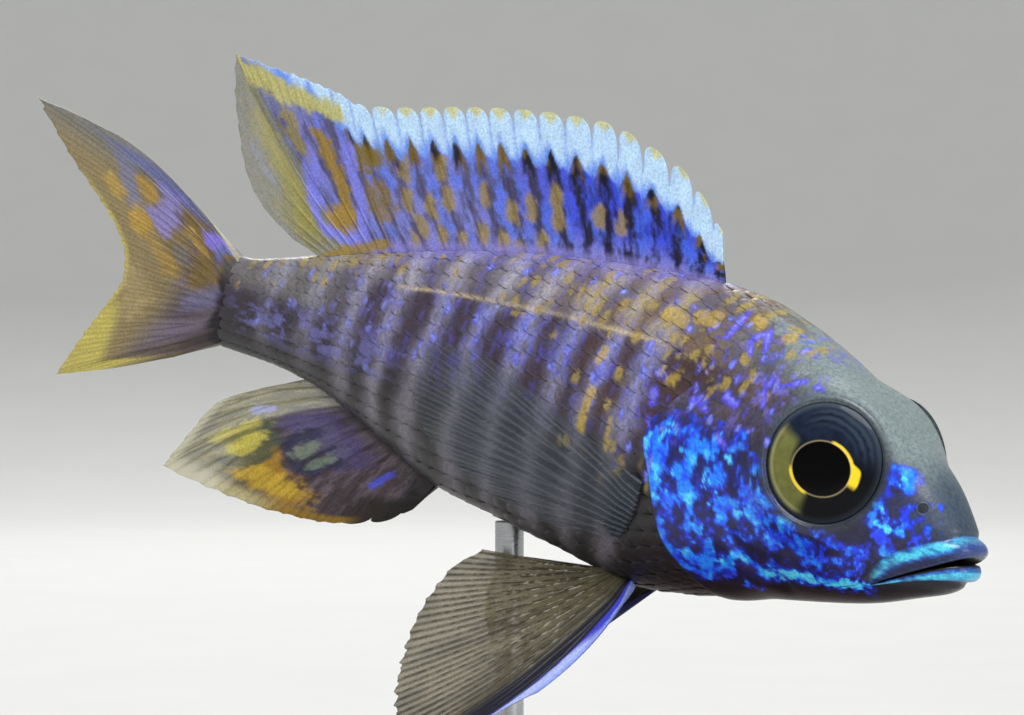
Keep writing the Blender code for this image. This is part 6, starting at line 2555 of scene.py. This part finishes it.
@dataclass
class Stand:
    """Turned base, collar and rod."""

    x: float = 5.8
    base_radius: float = 42.0
    base_thick: float = 8.0
    rod_radius: float = 1.5
    collar_radius: float = 4.5
    collar_height: float = 4.0
    base_bevel: float = 1.2
    collar_bevel: float = 0.8
    rod_bevel: float = 0.2
    seat: float = 0.02
    top_gap: float = 0.3
    bevel_points: int = 9
    core: float = 0.01
    segments: int = 160
    tone: float = 0.5

    def lathe(self, name: str, profile: list[tuple[float, float]]) -> bpy.types.Object:
        """Turns a profile of (radius, height) about the rod's line.

        Args:
            name: the piece's name.
            profile: pairs of radius and height.

        Returns:
            The piece.
        """
        points, quads = turned(profile, self.segments)
        points = points + np.array([self.x, 0.0, 0.0])
        return build_mesh(name, points, quads, np.full(points.shape, self.tone), placed=False)

    def rounded(self, radius: float, low: float, high: float, bevel: float) -> list[tuple[float, float]]:
        """A disc's profile with rounded edges, from its underside's middle to its top's.

        Args:
            radius: the disc's radius.
            low: height of its underside.
            high: height of its top.
            bevel: its edges' radius.

        Returns:
            Pairs of radius and height.
        """
        arc = np.linspace(0, math.pi / 2, self.bevel_points)
        under = [(radius - bevel + bevel * math.sin(a), low + bevel - bevel * math.cos(a)) for a in arc]
        over = [(radius - bevel + bevel * math.cos(a), high - bevel + bevel * math.sin(a)) for a in arc]
        flat = [(self.core, low), (radius / 2, low), (radius - bevel * 2, low)]
        top = [(radius - bevel * 2, high), (radius / 2, high), (self.core, high)]
        return flat + under + over + top

    def build(self, wood: bpy.types.Material, steel: bpy.types.Material) -> None:
        """Builds the three pieces in place of their nodes and dresses them.

        Args:
            wood: the base's finish.
            steel: the collar's and the rod's finish.
        """
        disc = self.rounded(self.base_radius, 0.0, self.base_thick, self.base_bevel)
        dress(self.lathe("stand_base", disc), wood, "base_wood", "stand_base")
        low = self.base_thick + self.seat
        high = low + self.collar_height
        ring = self.rounded(self.collar_radius, low, high + GAP, self.collar_bevel)
        dress(self.lathe("stand_collar", ring), steel, "rod_steel", "stand_collar")
        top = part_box("stand_rod")[1].z / MM - self.top_gap
        rod = self.rounded(self.rod_radius, high, top, self.rod_bevel)
        dress(self.lathe("stand_rod", rod), steel, "rod_steel", "stand_rod")


@dataclass
class Studio:
    """Pale seamless sweep, soft lamps and the camera."""

    floor_radius: float = 0.75
    wall_radius: float = 1.6
    wall_height: float = 1.6
    floor_rings: tuple = (0.001, 0.05, 0.2, 0.45)
    bend_start: float = 0.05
    bend_rings: int = 24
    segments: int = 128
    tone: float = 0.8
    lamps: tuple = (("key", (0.35, -0.50, 0.85), 0.6, 8.0, "#FFFFFF"),
                    ("fill", (0.9, -0.1, 0.25), 0.6, 2.5, "#F4F7FF"),
                    ("rim", (-0.5, 0.5, 0.6), 0.5, 4.0, "#FFFFFF"))
    lamp_aim: tuple = (0.01, 0.0, 0.05)
    sky: tuple = (0.9, 0.92, 0.95, 1.0)
    sky_strength: float = 0.6
    camera_offset: tuple = (211.812, -256.067, 5.489)
    look: tuple = (-0.6537581, 0.7567036, 0.0)
    focal_pixels: float = 3243.6
    image_width: float = 1024.0

    def sweep(self, material: bpy.types.Material) -> None:
        """A round floor that curves up into a wall on every side.

        Args:
            material: the finish.
        """
        bend = self.wall_radius - self.floor_radius
        profile = [(r, 0.0) for r in (*self.floor_rings, self.floor_radius)]
        profile += [(self.floor_radius + bend * math.sin(a), bend - bend * math.cos(a))
                    for a in np.linspace(self.bend_start, math.pi / 2, self.bend_rings)]
        profile.append((self.wall_radius, self.wall_height))
        points, quads = turned(profile, self.segments)
        thing = build_mesh("sweep", points / MM, quads, np.full(points.shape, self.tone), placed=False)
        thing.data.materials.append(material)

    def lamp(self, name: str, place: tuple, size: float, power: float, colour: str) -> None:
        """One round soft lamp that faces the fish.

        Args:
            name: the lamp's name.
            place: its place, in metres.
            size: its diameter, in metres.
            power: its power, in watts.
            colour: its light's colour.
        """
        light = bpy.data.lights.new(name, "AREA")
        light.shape = "DISK"
        light.size = size
        light.energy = power
        light.color = tuple(linear(colour))
        thing = bpy.data.objects.new(name, light)
        thing.location = place
        aim = Vector(self.lamp_aim) - thing.location
        thing.rotation_euler = aim.to_track_quat("-Z", "Y").to_euler()
        bpy.context.scene.collection.objects.link(thing)

    def camera(self) -> None:
        """Sets the camera where the photo was taken from."""
        lens = bpy.data.cameras.new("camera")
        lens.sensor_width = 36.0
        lens.lens = self.focal_pixels / self.image_width * lens.sensor_width
        lens.clip_start = 0.01
        thing = bpy.data.objects.new("camera", lens)
        thing.location = (Vector(POSE.anchor) + Vector(self.camera_offset)) * MM
        thing.rotation_euler = Vector(self.look).to_track_quat("-Z", "Y").to_euler()
        bpy.context.scene.collection.objects.link(thing)
        bpy.context.scene.camera = thing

    def build(self, paper: bpy.types.Material) -> None:
        """Builds the sweep, lamps, world and camera.

        Args:
            paper: the sweep's finish.
        """
        self.sweep(paper)
        for lamp in self.lamps:
            self.lamp(*lamp)
        world = bpy.data.worlds.new("studio")
        world.use_nodes = True
        background = world.node_tree.nodes["Background"]
        background.inputs["Color"].default_value = self.sky
        background.inputs["Strength"].default_value = self.sky_strength
        bpy.context.scene.world = world
        bpy.context.scene.view_settings.view_transform = "Standard"
        self.camera()


def main() -> None:
    """Builds every piece in order."""
    logging.basicConfig(level=logging.INFO, format="%(name)s: %(message)s")
    skin = WetSkin().make()
    Skin().build(skin)
    ScaleCoat().build(HornScale().make())
    membrane = FinMembrane().make()
    glass = EyeGlass().make()
    for fin in (DorsalFin(), AnalFin(), TailFin()):
        fin.build(membrane)
    for side in Side:
        PelvicFin(side=side).build(membrane)
        PectoralFin(side=side).build(membrane)
        Eye(side=side).build(glass)
    Stand().build(OiledWalnut().make(), BrushedSteel().make())
    Studio().build(PaperSweep().make())


if __name__ == "__main__":
    main()
